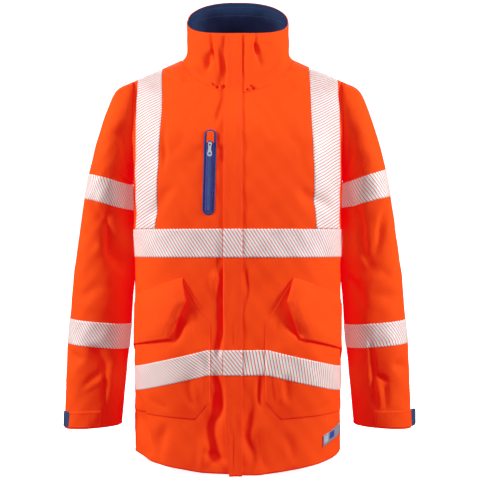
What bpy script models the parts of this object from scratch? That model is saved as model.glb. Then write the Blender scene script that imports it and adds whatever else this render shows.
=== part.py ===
"""Hi-vis waterproof work jacket, zipped up, in its worn shape with no wearer.

Metres, +Z up, front towards -Y, the wearer's left towards +X.  The origin is
at the neck point, at the height where the shoulder seams meet the collar.
Every cloth piece is an open sheet of points with Solidify as its wall.
"""
import math

import bpy
from mathutils import Vector

# ---- driving sizes -------------------------------------------------------
WALL = 0.0016            # shell cloth with its membrane
COLLAR_WALL, LINING_WALL = 0.0022, 0.0010
POCKET_FLAP_WALL, TAB_WALL = 0.0020, 0.0018
TAPE_WALL = 0.0008
TAPE_LIFT = 0.0006       # clear space under anything sewn on a panel
SEAM = 0.0004            # half the space between two pieces at a seam

NECK_HALF = 0.105
ARM_X = 0.1985           # the armhole seams stand upright at this half-width
SHOULDER_NECK_Z = -0.004
SHOULDER_TIP_Z = -0.0455
UNDERARM_Z = -0.234
ARMHOLE_FRONT = 0.058
ARMHOLE_BACK = 0.064
FRONT_NECK_DROP = 0.075
BACK_NECK_DROP = 0.008
NECK_CREST = 0.016       # rise of the shoulder line from the neck's side to its middle
NECKLINE_CURVE = 0.62
ROUND_H = 0.16           # height over which the shoulders round off
CREST_GAP, CREST_REACH = 0.0004, 0.006      # front and back part a little more at the crest
SPINE_HOLLOW, SPINE_HALF, SPINE_Z, SPINE_REACH = 0.004, 0.030, -0.30, 0.16

BRACE_IN, BRACE_OUT = 0.142, 0.1905
EDGE = 0.2505            # name of the panel's outer edge as a distance across
CHEST_TAPE = (-0.330, -0.3815)
HEM_TAPE_WIDTH = 0.051
FLAP_EDGE, FLAP_SEAM = -0.0255, 0.0085
FRONT_MEET = -0.0085
HEM_BACK_Z, HEM_SIDE_Z, HEM_DIP, HEM_DIP_HALF = -0.756, -0.754, 0.021, 0.16
SHOULDER_ROWS_END = -0.300
WAIST_ROWS = (-0.410, -0.440, -0.478)
HEM_SHARES = (0.28, 0.55, 0.80, 1.0)

# height, half-width, front depth, back depth, boxiness of the section
FORM = (
    (0.020, 0.1985, 0.120, 0.140, 3.0),
    (-0.080, 0.1985, 0.126, 0.147, 3.0),
    (-0.160, 0.1985, 0.150, 0.152, 3.0),
    (-0.250, 0.1985, 0.162, 0.150, 2.8),
    (-0.330, 0.1992, 0.166, 0.143, 2.6),
    (-0.450, 0.1995, 0.166, 0.136, 2.5),
    (-0.600, 0.1990, 0.167, 0.146, 2.5),
    (-0.780, 0.1962, 0.169, 0.154, 2.5),
)

# across from the centre, height of the hem tape's upper edge
HEM_TAPE_TOP = ((0.0, -0.5475), (0.055, -0.5475), (0.142, -0.572), (BRACE_OUT, -0.586),
                (EDGE, -0.590))
HEM_TAPE_SIDE, HEM_TAPE_BACK_RISE = -0.590, 0.012

# across, height, half-length across, half-length down, push out (+) or in (-)
TORSO_FOLDS = (
    (-0.040, -0.440, 0.012, 0.045, -0.0030),
    (0.045, -0.450, 0.013, 0.040, -0.0022),
    (-0.090, -0.300, 0.030, 0.060, 0.0020),
    (0.085, -0.290, 0.030, 0.060, 0.0020),
    (-0.045, -0.720, 0.016, 0.040, -0.0030),
    (0.062, -0.730, 0.018, 0.035, -0.0028),
    (-0.120, -0.740, 0.022, 0.040, 0.0030),
    (0.125, -0.740, 0.020, 0.040, 0.0026),
)

# sleeve rings: outer x, outer z, inner x, inner z, half depth, centre y
SLEEVE_RINGS = (
    (0.1985, -0.0455, 0.1985, -0.2340, None, 0.000),
    (0.2165, -0.0530, 0.2015, -0.2362, 0.068, 0.000),
    (0.2315, -0.0630, 0.2022, -0.2382, 0.074, 0.001),
    (0.2440, -0.0850, 0.2026, -0.2400, 0.078, 0.001),
    (0.2570, -0.1200, 0.2029, -0.2412, 0.080, 0.002),
    (0.2700, -0.1620, 0.2032, -0.2422, 0.081, 0.002),
    (0.2848, -0.2195, 0.2036, -0.2432, 0.081, 0.002),
    (0.2940, -0.2715, 0.2040, -0.2940, 0.080, 0.003),
    (0.2995, -0.3080, 0.2043, -0.3300, 0.079, 0.003),
    (0.3050, -0.3480, 0.2046, -0.3680, 0.078, 0.003),
    (0.3105, -0.3900, 0.2049, -0.4070, 0.077, 0.002),
    (0.3155, -0.4300, 0.2052, -0.4440, 0.076, 0.000),
    (0.3205, -0.4985, 0.2058, -0.5090, 0.074, -0.003),
    (0.3250, -0.5455, 0.2085, -0.5555, 0.071, -0.006),
    (0.3262, -0.5700, 0.2108, -0.5780, 0.069, -0.008),
    (0.3275, -0.6040, 0.2135, -0.6100, 0.066, -0.010),
    (0.3285, -0.6380, 0.2165, -0.6420, 0.063, -0.012),
    (0.3298, -0.6690, 0.2185, -0.6690, 0.060, -0.014),
    (0.3306, -0.6995, 0.2208, -0.6935, 0.058, -0.015),
    (0.3308, -0.7065, 0.2212, -0.6995, 0.058, -0.015),
)
UPPER_TAPE_RINGS, LOWER_TAPE_RINGS, CUFF_TAB_RINGS = (6, 7), (12, 13), (17, 18)
# turn in degrees, how far the tab stands off there, for the wearer's left (1) and right (-1)
CUFF_TABS = {
    1: ((108, 0.0), (90, 0.0), (72, 0.0), (54, 0.0003), (36, 0.0010), (18, 0.0026), (14, 0.0034)),
    -1: ((108, 0.0), (90, 0.0), (72, 0.0), (54, 0.0002), (36, 0.0008)),
}
CUFF_TIPS = {
    1: ((13.6, 0.0035), (5, 0.0060), (-3, 0.0090), (-10, 0.0115)),
    -1: ((35.5, 0.0008), (18, 0.0016), (0, 0.0026), (-6, 0.0032)),
}
SLEEVE_SIDES = 20
SLEEVE_BOXINESS = 2.2

# turn from the outer edge towards the front, height, half-turn, half-height, push
SLEEVE_FOLDS = (
    (70.0, -0.300, 34.0, 0.050, 0.0030),
    (115.0, -0.360, 30.0, 0.040, -0.0060),
    (60.0, -0.430, 34.0, 0.020, -0.0034),
    (100.0, -0.590, 26.0, 0.030, -0.0050),
    (60.0, -0.610, 24.0, 0.026, 0.0030),
    (250.0, -0.400, 40.0, 0.030, -0.0045),
    (290.0, -0.600, 34.0, 0.030, -0.0035),
)

COLLAR_TOP = dict(half=0.098, front=0.083, back=0.086, y=0.001, boxiness=2.25)
COLLAR_FRONT_Z, COLLAR_BACK_Z, COLLAR_RISE = 0.0375, 0.1190, 1.5
COLLAR_LEVELS = (0.0, 0.10, 0.24, 0.45, 0.70, 1.0)
LINING_LEVELS = (0.05, 0.24, 0.45, 0.70, 0.975)
COLLAR_HOLLOW = 4        # how fast the collar's side draws in above the neck seam

FLAP_LIFT = 0.0012
FLAP_COLLAR_LEVELS, FLAP_COLLAR_NARROW = (0.97, 0.70, 0.45, 0.24), 0.85
FLAP_COLLAR_OUTWARD = (0.0, -0.96, 0.28)
FLAP_COLUMNS = (FLAP_EDGE, FRONT_MEET, FLAP_SEAM)

# columns across a front from its centre edge, and across half of the back
NECK_STEPS = (0.050, 0.068, 0.084, 0.096, 0.105)
SHOULDER_STEPS = (0.123, BRACE_IN, 0.158, 0.174, BRACE_OUT)
EDGE_STEPS = (0.2055, 0.2205, 0.2355, EDGE)
FRONT_STEPS = (0.0085, 0.0255) + NECK_STEPS + SHOULDER_STEPS + EDGE_STEPS
BACK_STEPS = (0.0, 0.025) + NECK_STEPS + SHOULDER_STEPS + EDGE_STEPS

UNDERARM_SHARE = (UNDERARM_Z - SHOULDER_TIP_Z) / (SHOULDER_ROWS_END - SHOULDER_TIP_Z)
SHOULDER_SHARES = (0.0, 0.02, 0.06, 0.12, 0.21, 0.33, 0.46, 0.59, 0.69, UNDERARM_SHARE, 0.86, 1.0)

POCKET_FRONT, POCKET_SIDE = 0.050, 0.2205
POCKET_TOP = ((0.0, -0.503), (POCKET_FRONT, -0.503), (0.1015, -0.419), (BRACE_OUT, -0.464),
              (EDGE, -0.476))
POCKET_BOTTOM = ((0.0, -0.640), (POCKET_FRONT, -0.640), (0.078, -0.6735), (EDGE, -0.668))
POCKET_BULGE, POCKET_LIFT = 0.011, 0.0014
POCKET_RUN_OFF = 0.010   # past the bag's side, where flap and tape come down to the panel
POCKET_STEPS = (POCKET_FRONT, 0.060, 0.078, 0.1015, 0.123, BRACE_IN, 0.158, 0.174, BRACE_OUT, 0.2055,
                POCKET_SIDE)
POCKET_TAPE_PAST = (POCKET_SIDE + POCKET_RUN_OFF, 0.2405, EDGE)
FLAP_OUT = 0.2385
FLAP_SHARES = (0.0, 0.12, 0.26, 0.42, 0.56, 0.70, 0.82, 0.92, 1.0)
FLAP_DROOP = 1.2         # how late the flap's outer side comes down
FLAP_STAND, FLAP_BELLY, FLAP_PAST = 0.0024, 0.0050, 0.0012
# share down the flap, across at its inner edge, height there, height at its outer edge
POCKET_FLAP = (
    (0.00, 0.1006, -0.4190, -0.4770),
    (0.18, 0.0946, -0.4395, -0.4905),
    (0.36, 0.0887, -0.4600, -0.5040),
    (0.53, 0.0960, -0.4783, -0.5165),
    (0.70, 0.1033, -0.4967, -0.5290),
    (0.85, 0.1098, -0.5128, -0.5400),
    (1.00, 0.1162, -0.5290, -0.5510),
)

WELT_TOP, WELT_BOTTOM = (-0.0490, -0.1495), (-0.0528, -0.3055)
WELT_WIDTH, WELT_RIM = 0.0222, 0.0036
WELT_LIFT, WELT_WALL = 0.0012, 0.0022
ZIP_TAPE_CLEAR = 0.0006  # between the zip's tape and the welt's inner edge
ZIP_TAPE_ROWS, COIL_SPOTS = 12, 10
ZIP_LIFT = 0.0014        # the zip's tape above the front's cloth
COIL_RADIUS, COIL_CLEAR = 0.0028, 0.0003
PULL_LENGTH, PULL_WIDTH, PULL_THICK = 0.0265, 0.0088, 0.0016
PULL_TOP = 0.0008        # the pull's upper end above its hinge
EYE = (0.0016, 0.0024, -0.0046)   # half-width, half-height and height of the pull's eye
SLIDER_DROP = 0.0262     # from the welt's top end to the slider's middle
SLIDER_SIZE = (0.0078, 0.0062, 0.0092)
SLIDER_CLEAR, SLIDER_EDGE = 0.0002, 0.0010
PULL_HINGE_LIFT = ZIP_LIFT + TAPE_WALL + 2 * COIL_RADIUS + 0.0023

LABEL_LIFT = 0.0012
LABEL_CORNERS = ((0.1556, -0.7130), (0.1905, -0.6945))
LABEL_HEIGHT = 0.0185


# ---- small helpers -------------------------------------------------------
def blend(a, b, share):
    return a + (b - a) * share


def table(rows, key, column=1):
    """Read a table whose first column rises or falls, straight between its rows."""
    ordered = sorted(rows, key=lambda row: row[0])
    if key <= ordered[0][0]:
        return ordered[0][column]
    for low, high in zip(ordered, ordered[1:]):
        if key <= high[0]:
            return blend(low[column], high[column], (key - low[0]) / (high[0] - low[0]))
    return ordered[-1][column]


def smooth_table(rows, key, column):
    """As table, eased at each row so that no crease shows."""
    ordered = sorted(rows, key=lambda row: row[0])
    if key <= ordered[0][0]:
        return ordered[0][column]
    for i in range(len(ordered) - 1):
        x0, x1 = ordered[i][0], ordered[i + 1][0]
        if key <= x1:
            y0, y1 = ordered[i][column], ordered[i + 1][column]
            before = ordered[max(i - 1, 0)]
            after = ordered[min(i + 2, len(ordered) - 1)]
            slope0 = (y1 - before[column]) / (x1 - before[0])
            slope1 = (after[column] - y0) / (after[0] - x0)
            step, share = x1 - x0, (key - x0) / (x1 - x0)
            square, cube = share * share, share ** 3
            return ((2 * cube - 3 * square + 1) * y0 + (cube - 2 * square + share) * step * slope0
                    + (3 * square - 2 * cube) * y1 + (cube - square) * step * slope1)
    return ordered[-1][column]


def bump(distance, reach):
    return math.exp(-(distance / reach) ** 2)


def clamp(value, low, high):
    return max(low, min(high, value))


# ---- the torso's form ----------------------------------------------------
def shoulder_z(x):
    x = abs(x)
    if x >= NECK_HALF:
        return blend(SHOULDER_NECK_Z, SHOULDER_TIP_Z, (x - NECK_HALF) / (ARM_X - NECK_HALF))
    return SHOULDER_NECK_Z + NECK_CREST * (1 - (x / NECK_HALF) ** 2)


def round_off(drop):
    """Share of the full depth at a drop below the shoulder's crest."""
    share = clamp(drop / ROUND_H, 0.0, 1.0)
    return math.sqrt(1 - (1 - share) ** 2)


def armhole_depth(z, back):
    middle = (SHOULDER_TIP_Z + UNDERARM_Z) / 2
    half = (SHOULDER_TIP_Z - UNDERARM_Z) / 2
    share = clamp(abs(z - middle) / half, 0.0, 1.0)
    return (ARMHOLE_BACK if back else ARMHOLE_FRONT) * math.sqrt(1 - share ** 2)


def top_z(across, back):
    """Upper edge of a panel: the neckline, then the shoulder seam."""
    across = abs(across)
    if across < NECK_HALF:
        drop = BACK_NECK_DROP if back else FRONT_NECK_DROP
        return SHOULDER_NECK_Z - drop * (1 - (across / NECK_HALF) ** 2) ** NECKLINE_CURVE
    if across < BRACE_OUT:
        return shoulder_z(across)
    return shoulder_z(blend(BRACE_OUT, ARM_X, (across - BRACE_OUT) / (EDGE - BRACE_OUT)))


def bare_torso(across, z, back):
    """Point of a body panel, named by its distance across and its height."""
    side = math.copysign(1.0, across)
    across = min(abs(across), EDGE)
    half = smooth_table(FORM, z, 1)
    depth = smooth_table(FORM, z, 3 if back else 2)
    box = smooth_table(FORM, z, 4)
    if across <= BRACE_OUT:
        x = across
        y = depth * round_off(shoulder_z(x) - z) * (1 - (x / half) ** box) ** (1 / box)
    else:
        share = (across - BRACE_OUT) / (EDGE - BRACE_OUT)
        start = math.asin((BRACE_OUT / half) ** (box / 2))
        end = math.pi / 2
        if z > UNDERARM_Z:
            edge_depth = max(depth * round_off(shoulder_z(ARM_X) - z), 1e-6)
            end = math.acos(clamp(armhole_depth(z, back) / edge_depth, 0.0, 0.5) ** (box / 2))
        turn = blend(start, end, share)
        x = half * math.sin(turn) ** (2 / box)
        if z > UNDERARM_Z:
            x = min(x + (ARM_X - half * math.sin(end) ** (2 / box)) * share, ARM_X)
        y = depth * round_off(shoulder_z(x) - z) * max(math.cos(turn), 0.0) ** (2 / box)
    y += SEAM + CREST_GAP * bump(shoulder_z(x) - z, CREST_REACH)
    if back:
        y -= SPINE_HOLLOW * bump(x, SPINE_HALF) * bump(z - SPINE_Z, SPINE_REACH)
    else:
        for at, height, reach, length, push in TORSO_FOLDS:
            y += push * bump(side * across - at, reach) * bump(z - height, length)
    return Vector((side * x, y if back else -y, z))


def torso(across, z, lift=0.0, back=False):
    """Point of the jacket's body, moved out by lift."""
    point = bare_torso(across, z, back)
    if lift == 0.0:
        return point
    step = 0.003
    top = top_z(across, back)
    up, down = min(z + step, top), min(z, top) - step
    right, left = across + step, across - step
    if abs(across) + step > EDGE:
        right, left = (across, across - step) if across > 0 else (across + step, across)
    along = bare_torso(right, z, back) - bare_torso(left, z, back)
    fall = bare_torso(across, down, back) - bare_torso(across, up, back)
    normal = along.cross(fall) if back else fall.cross(along)
    return point + normal.normalized() * lift


def hem_z(across, back):
    if back:
        return HEM_BACK_Z
    return HEM_SIDE_Z - HEM_DIP * max(0.0, 1 - (across / HEM_DIP_HALF) ** 2)


def hem_tape_top(across, back=False):
    if back:
        return HEM_TAPE_SIDE + HEM_TAPE_BACK_RISE * (1 - (abs(across) / EDGE) ** 2)
    return table(HEM_TAPE_TOP, abs(across))


def body_rows(across, back):
    """Heights of a panel's rows at one column, from its upper edge to the hem."""
    top = top_z(across, back)
    rows = [blend(top, SHOULDER_ROWS_END, share) for share in SHOULDER_SHARES]
    upper = hem_tape_top(across, back)
    lower = upper - HEM_TAPE_WIDTH
    hem = hem_z(across, back)
    rows += [*CHEST_TAPE, *WAIST_ROWS]
    rows += [blend(WAIST_ROWS[-1], upper, 0.5), upper, lower]
    return rows + [blend(lower, hem, share) for share in HEM_SHARES]


ROW_UNDERARM = SHOULDER_SHARES.index(UNDERARM_SHARE)
ROW_CHEST = len(SHOULDER_SHARES)
ROW_HEM_TAPE = ROW_CHEST + len(CHEST_TAPE) + len(WAIST_ROWS) + 1

# ---- making pieces -------------------------------------------------------
parts = bpy.data.collections.new("work_jacket")
materials = {}


def finish_of(name, colour, roughness, metallic=0.0):
    if name not in materials:
        material = bpy.data.materials.new(name)
        material.use_nodes = True
        shader = material.node_tree.nodes["Principled BSDF"]
        shader.inputs["Base Color"].default_value = (*colour, 1.0)
        shader.inputs["Roughness"].default_value = roughness
        shader.inputs["Metallic"].default_value = metallic
        materials[name] = material
    return materials[name]


def shell_cloth():
    return finish_of("orange_shell", (1.0, 0.075, 0.010), 0.62)


def navy_cloth():
    return finish_of("navy_lining", (0.012, 0.030, 0.085), 0.75)


def blue_trim():
    return finish_of("blue_trim", (0.014, 0.050, 0.220), 0.55)


def reflective_tape():
    return finish_of("reflective_tape", (0.80, 0.74, 0.72), 0.40)


def white_plastic():
    return finish_of("pull_plastic", (0.75, 0.78, 0.80), 0.35)


def label_film():
    return finish_of("label_film", (0.40, 0.42, 0.46), 0.50)


def add_object(name, vertices, faces, material):
    mesh = bpy.data.meshes.new(name)
    mesh.from_pydata([tuple(v) for v in vertices], [], faces)
    mesh.materials.append(material)
    mesh.shade_smooth()
    mesh.set_sharp_from_angle(angle=math.radians(50))
    piece = bpy.data.objects.new(name, mesh)
    parts.objects.link(piece)
    return piece


def sheet(name, rows, material, wall, closed=False, outward=False):
    """A wall from rows of points; rows run down, points run to the right seen from outside."""
    across = len(rows[0])
    vertices = [point for row in rows for point in row]
    faces = []
    for r in range(len(rows) - 1):
        for c in range(across if closed else across - 1):
            d = (c + 1) % across
            faces.append((r * across + c, (r + 1) * across + c, (r + 1) * across + d, r * across + d))
    piece = add_object(name, vertices, faces, material)
    solid = piece.modifiers.new("wall", "SOLIDIFY")
    solid.thickness = wall
    solid.offset = 1.0 if outward else -1.0
    return piece


def panel_grid(columns, back, first=0, last=None, lift=0.0):
    """Rows first to last of a body panel at the given columns, in the order given."""
    heights = [body_rows(across, back) for across in columns]
    last = len(heights[0]) - 1 if last is None else last
    return [[torso(across, heights[i][r], lift, back) for i, across in enumerate(columns)]
            for r in range(first, last + 1)]


def mirrored(steps):
    """Columns from the left edge to the right one, with one at the centre."""
    return [-s for s in reversed(steps) if s > 0] + list(steps)


RIGHT_COLUMNS = [-s for s in reversed(FRONT_STEPS[1:])] + [FRONT_MEET - SEAM]
LEFT_COLUMNS = [FRONT_MEET + SEAM] + list(FRONT_STEPS)
BACK_COLUMNS = list(reversed(mirrored(BACK_STEPS)))


def body_panels():
    sheet("front_right", panel_grid(RIGHT_COLUMNS, False), shell_cloth(), WALL)
    sheet("front_left", panel_grid(LEFT_COLUMNS, False), shell_cloth(), WALL)
    sheet("back", panel_grid(BACK_COLUMNS, True), shell_cloth(), WALL)


# ---- collar --------------------------------------------------------------
def collar_point(across, back, level, inset=0.0):
    """Stand collar, from the neck seam at level 0 to its rim at level 1."""
    seam = bare_torso(across, top_z(across, back), back)
    seam.z += 2 * SEAM
    share = clamp(across / NECK_HALF, -1.0, 1.0)
    box = COLLAR_TOP["boxiness"]
    reach = COLLAR_TOP["back"] if back else -COLLAR_TOP["front"]
    rim_y = COLLAR_TOP["y"] + reach * (1 - abs(share) ** box) ** (1 / box)
    turn = 0.5 + 0.5 * (rim_y - COLLAR_TOP["y"]) / (COLLAR_TOP["back"] if back else COLLAR_TOP["front"])
    rim = Vector((COLLAR_TOP["half"] * share, rim_y,
                  COLLAR_FRONT_Z + (COLLAR_BACK_Z - COLLAR_FRONT_Z) * turn ** COLLAR_RISE))
    point = seam.lerp(rim, level)
    point.x = rim.x + (seam.x - rim.x) * (1 - level) ** COLLAR_HOLLOW
    if inset:
        middle = Vector((0.0, COLLAR_TOP["y"], point.z))
        inward = middle - point
        point += inward.normalized() * inset
    return point


def collar_columns():
    front = [(-s, False) for s in reversed(FRONT_STEPS) if s <= NECK_HALF]
    front += [(s, False) for s in FRONT_STEPS if s <= NECK_HALF]
    back = [(s, True) for s in reversed(BACK_STEPS) if 0 < s < NECK_HALF]
    back += [(-s, True) for s in BACK_STEPS if s < NECK_HALF]
    return front + back


def collar():
    columns = collar_columns()
    outer = [[collar_point(a, b, level) for a, b in columns] for level in reversed(COLLAR_LEVELS)]
    sheet("collar", outer, shell_cloth(), COLLAR_WALL, closed=True)
    inset = COLLAR_WALL + 2 * SEAM
    inner = [[collar_point(a, b, level, inset) for a, b in columns] for level in reversed(LINING_LEVELS)]
    sheet("collar_lining", inner, navy_cloth(), LINING_WALL, closed=True)


# ---- storm flap over the front zip ---------------------------------------
def storm_flap():
    outward = Vector(FLAP_COLLAR_OUTWARD)
    on_collar = [[collar_point(across * FLAP_COLLAR_NARROW, False, level) + outward * FLAP_LIFT
                  for across in FLAP_COLUMNS] for level in FLAP_COLLAR_LEVELS]
    rows = on_collar + panel_grid(FLAP_COLUMNS, False, lift=FLAP_LIFT)
    sheet("storm_flap", rows, shell_cloth(), WALL, outward=True)


# ---- sleeves and what is sewn on them ------------------------------------
def sleeve_ring(side, ring, turn):
    """Point of a ring; turn is 0 at the outer edge and 90 degrees at the front."""
    outer_x, outer_z, inner_x, inner_z, half_depth, centre_y = SLEEVE_RINGS[ring]
    power = 2 / SLEEVE_BOXINESS
    wave, swing = math.cos(turn), math.sin(turn)
    along = math.copysign(abs(wave) ** power, wave)
    depth = math.copysign(abs(swing) ** power, swing)
    x = (outer_x + inner_x) / 2 + (outer_x - inner_x) / 2 * along
    z = (outer_z + inner_z) / 2 + (outer_z - inner_z) / 2 * along
    if half_depth is None:
        x = ARM_X + 2 * SEAM
        z = (outer_z + inner_z) / 2 + (outer_z - inner_z) / 2 * wave
        reach = ARMHOLE_FRONT if swing > 0 else ARMHOLE_BACK
        y = -reach * swing - math.copysign(SEAM, swing)
    else:
        y = centre_y - half_depth * depth
        centre_x = (outer_x + inner_x) / 2
        degrees = math.degrees(turn) % 360
        push = 0.0
        for at, height, reach, length, amount in SLEEVE_FOLDS:
            off = (degrees - at + 180) % 360 - 180
            push += amount * bump(off, reach) * bump(z - height, length)
        out = Vector((x - centre_x, y - centre_y, 0.0)).normalized()
        x, y = x + out.x * push, y + out.y * push
    return Vector((side * x, y, z))


def ring_turns(side):
    """Turns that run to the right round the tube, seen from outside."""
    step = 2 * math.pi / SLEEVE_SIDES
    return [(-side * i * step) % (2 * math.pi) for i in range(SLEEVE_SIDES)]


def sleeve_patch(side, rings, spots):
    """Rows of points moved out from the sleeve's own rings; spots hold turn and lift."""
    rows = []
    step = 0.10
    for ring in rings:
        row = []
        for turn, lift in spots:
            point = sleeve_ring(side, ring, turn)
            before, after = max(ring - 1, 0), min(ring + 1, len(SLEEVE_RINGS) - 1)
            fall = sleeve_ring(side, after, turn) - sleeve_ring(side, before, turn)
            along = sleeve_ring(side, ring, turn + step) - sleeve_ring(side, ring, turn - step)
            normal = along.cross(fall) * side
            row.append(point + normal.normalized() * lift)
        rows.append(row)
    return rows


def sleeves():
    for side, name in ((1, "left"), (-1, "right")):
        turns = ring_turns(side)
        rings = range(len(SLEEVE_RINGS))
        rows = [[sleeve_ring(side, ring, turn) for turn in turns] for ring in rings]
        sheet("sleeve_" + name, rows, shell_cloth(), WALL, closed=True)
        for part, band in (("upper", UPPER_TAPE_RINGS), ("lower", LOWER_TAPE_RINGS)):
            rows = sleeve_patch(side, band, [(turn, TAPE_LIFT) for turn in turns])
            sheet("sleeve_tape_%s_%s" % (part, name), rows, reflective_tape(), TAPE_WALL,
                  closed=True, outward=True)
        for part, table, cloth in (("cuff_tab_", CUFF_TABS, shell_cloth()),
                                   ("cuff_tab_tip_", CUFF_TIPS, navy_cloth())):
            spots = [(math.radians(turn), TAPE_LIFT + stand) for turn, stand in table[side]]
            rows = sleeve_patch(side, CUFF_TAB_RINGS, sorted(spots, reverse=side > 0))
            sheet(part + name, rows, cloth, TAB_WALL, outward=True)


# ---- reflective tapes on the body ----------------------------------------
def body_tapes():
    tape = reflective_tape()
    edge = 2 * SEAM

    def strip(name, columns, back, first, last, lift=TAPE_LIFT):
        rows = panel_grid(columns, back, first, last, lift)
        sheet(name, rows, tape, TAPE_WALL, outward=True)

    right = [-s for s in reversed(FRONT_STEPS[2:])] + [FLAP_EDGE - edge]
    left = [FLAP_SEAM + edge] + list(FRONT_STEPS[1:])
    chest = (ROW_CHEST, ROW_CHEST + 1)
    strip("chest_tape_right", right, False, *chest)
    strip("chest_tape_left", left, False, *chest)
    strip("chest_tape_back", BACK_COLUMNS, True, *chest)
    on_flap = FLAP_LIFT + WALL + TAPE_LIFT
    strip("chest_tape_flap", FLAP_COLUMNS, False, *chest, on_flap)
    hem = (ROW_HEM_TAPE, ROW_HEM_TAPE + 1)
    strip("hem_tape_right", [-(POCKET_FRONT - edge), FLAP_EDGE - edge], False, *hem)
    strip("hem_tape_left", [FLAP_SEAM + edge, 0.0255, POCKET_FRONT - edge], False, *hem)
    strip("hem_tape_flap", FLAP_COLUMNS, False, *hem, on_flap)
    strip("hem_tape_back", BACK_COLUMNS, True, *hem)
    brace = [s for s in SHOULDER_STEPS if s >= BRACE_IN]
    for side, name in ((1, "left"), (-1, "right")):
        front = sorted(side * s for s in brace)
        for part, back, columns in (("front", False, front), ("back", True, front[::-1])):
            rows = panel_grid(columns, back, 0, ROW_CHEST - 1, TAPE_LIFT)
            above = CHEST_TAPE[0] + 2 * edge
            rows.append([torso(across, above, TAPE_LIFT, back) for across in columns])
            sheet("brace_tape_%s_%s" % (part, name), rows, tape, TAPE_WALL, outward=True)


# ---- lower pockets -------------------------------------------------------
def pocket_lift(across, z):
    """How far the pocket bag stands off the panel."""
    across = abs(across)
    top, bottom = table(POCKET_TOP, across), table(POCKET_BOTTOM, across)
    down = clamp((top - z) / (top - bottom), 0.0, 1.0)
    over = clamp((across - POCKET_FRONT) / (POCKET_SIDE - POCKET_FRONT), 0.0, 1.0)
    belly = math.sin(math.pi * down ** 1.35) ** 0.7 * math.sin(math.pi * over ** 0.85) ** 0.7
    return POCKET_LIFT + POCKET_BULGE * belly


def over_pocket(across, z, clear, clear_past):
    """Lift of what lies on a pocket bag and runs on past its side to the panel."""
    on_bag = pocket_lift(across, z) + WALL + clear
    past = clamp((abs(across) - POCKET_SIDE) / POCKET_RUN_OFF, 0.0, 1.0)
    return blend(on_bag, clear_past, past)


def pocket_rows(across):
    top, bottom = table(POCKET_TOP, abs(across)), table(POCKET_BOTTOM, abs(across))
    upper = hem_tape_top(across)
    lower = upper - HEM_TAPE_WIDTH
    rows = [blend(top, upper, share) for share in (0.0, 0.12, 0.36, 0.68)]
    rows += [upper, lower]
    return rows + [blend(lower, bottom, share) for share in (0.45, 0.82, 1.0)]


def pockets():
    for side, name in ((1, "left"), (-1, "right")):
        columns = sorted(side * s for s in POCKET_STEPS)
        heights = [pocket_rows(across) for across in columns]
        rows = [[torso(a, heights[i][r], pocket_lift(a, heights[i][r])) for i, a in enumerate(columns)]
                for r in range(len(heights[0]))]
        sheet("pocket_bag_" + name, rows, shell_cloth(), WALL, outward=True)
        across_tape = sorted(columns + [side * s for s in POCKET_TAPE_PAST])
        edges = [[hem_tape_top(a) - drop for a in across_tape] for drop in (0.0, HEM_TAPE_WIDTH)]
        tape_rows = [[torso(a, z, over_pocket(a, z, TAPE_LIFT, TAPE_LIFT))
                      for a, z in zip(across_tape, edge)] for edge in edges]
        sheet("hem_tape_pocket_" + name, tape_rows, reflective_tape(), TAPE_WALL, outward=True)
        flap = []
        for down, inner, inner_z, outer_z in POCKET_FLAP:
            row = []
            for share in FLAP_SHARES:
                across = blend(inner, FLAP_OUT, share)
                z = blend(inner_z, outer_z, share ** FLAP_DROOP)
                belly = math.sin(math.pi * min(0.25 + 0.8 * share, 1.0))
                stand = FLAP_STAND + FLAP_BELLY * down * belly
                row.append(torso(side * across, z, over_pocket(across, z, stand, FLAP_PAST)))
            flap.append(row if side > 0 else row[::-1])
        sheet("pocket_flap_" + name, flap, shell_cloth(), POCKET_FLAP_WALL, outward=True)


# ---- chest pocket with its zip -------------------------------------------
def welt_place(along, out, lift):
    """Point on the chest, along the zip from its top end and out sideways."""
    start, end = Vector(WELT_TOP), Vector(WELT_BOTTOM)
    direction = (end - start).normalized()
    spot = start + direction * along + Vector((-direction.y, direction.x)) * out
    return torso(spot.x, spot.y, lift)


WELT_LENGTH = (Vector(WELT_BOTTOM) - Vector(WELT_TOP)).length


def stadium(length, width, inset, straight_steps=9, round_steps=5):
    """Outline of a slot with round ends, as (along, out) pairs."""
    radius = width / 2 - inset
    first, last = width / 2, length - width / 2
    outline = []
    for i in range(straight_steps):
        outline.append((blend(first, last, i / (straight_steps - 1)), radius))
    for i in range(1, round_steps):
        turn = math.pi * i / round_steps
        outline.append((last + radius * math.sin(turn), radius * math.cos(turn)))
    for i in range(straight_steps):
        outline.append((blend(last, first, i / (straight_steps - 1)), -radius))
    for i in range(1, round_steps):
        turn = math.pi * i / round_steps
        outline.append((first - radius * math.sin(turn), -radius * math.cos(turn)))
    return outline


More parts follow.
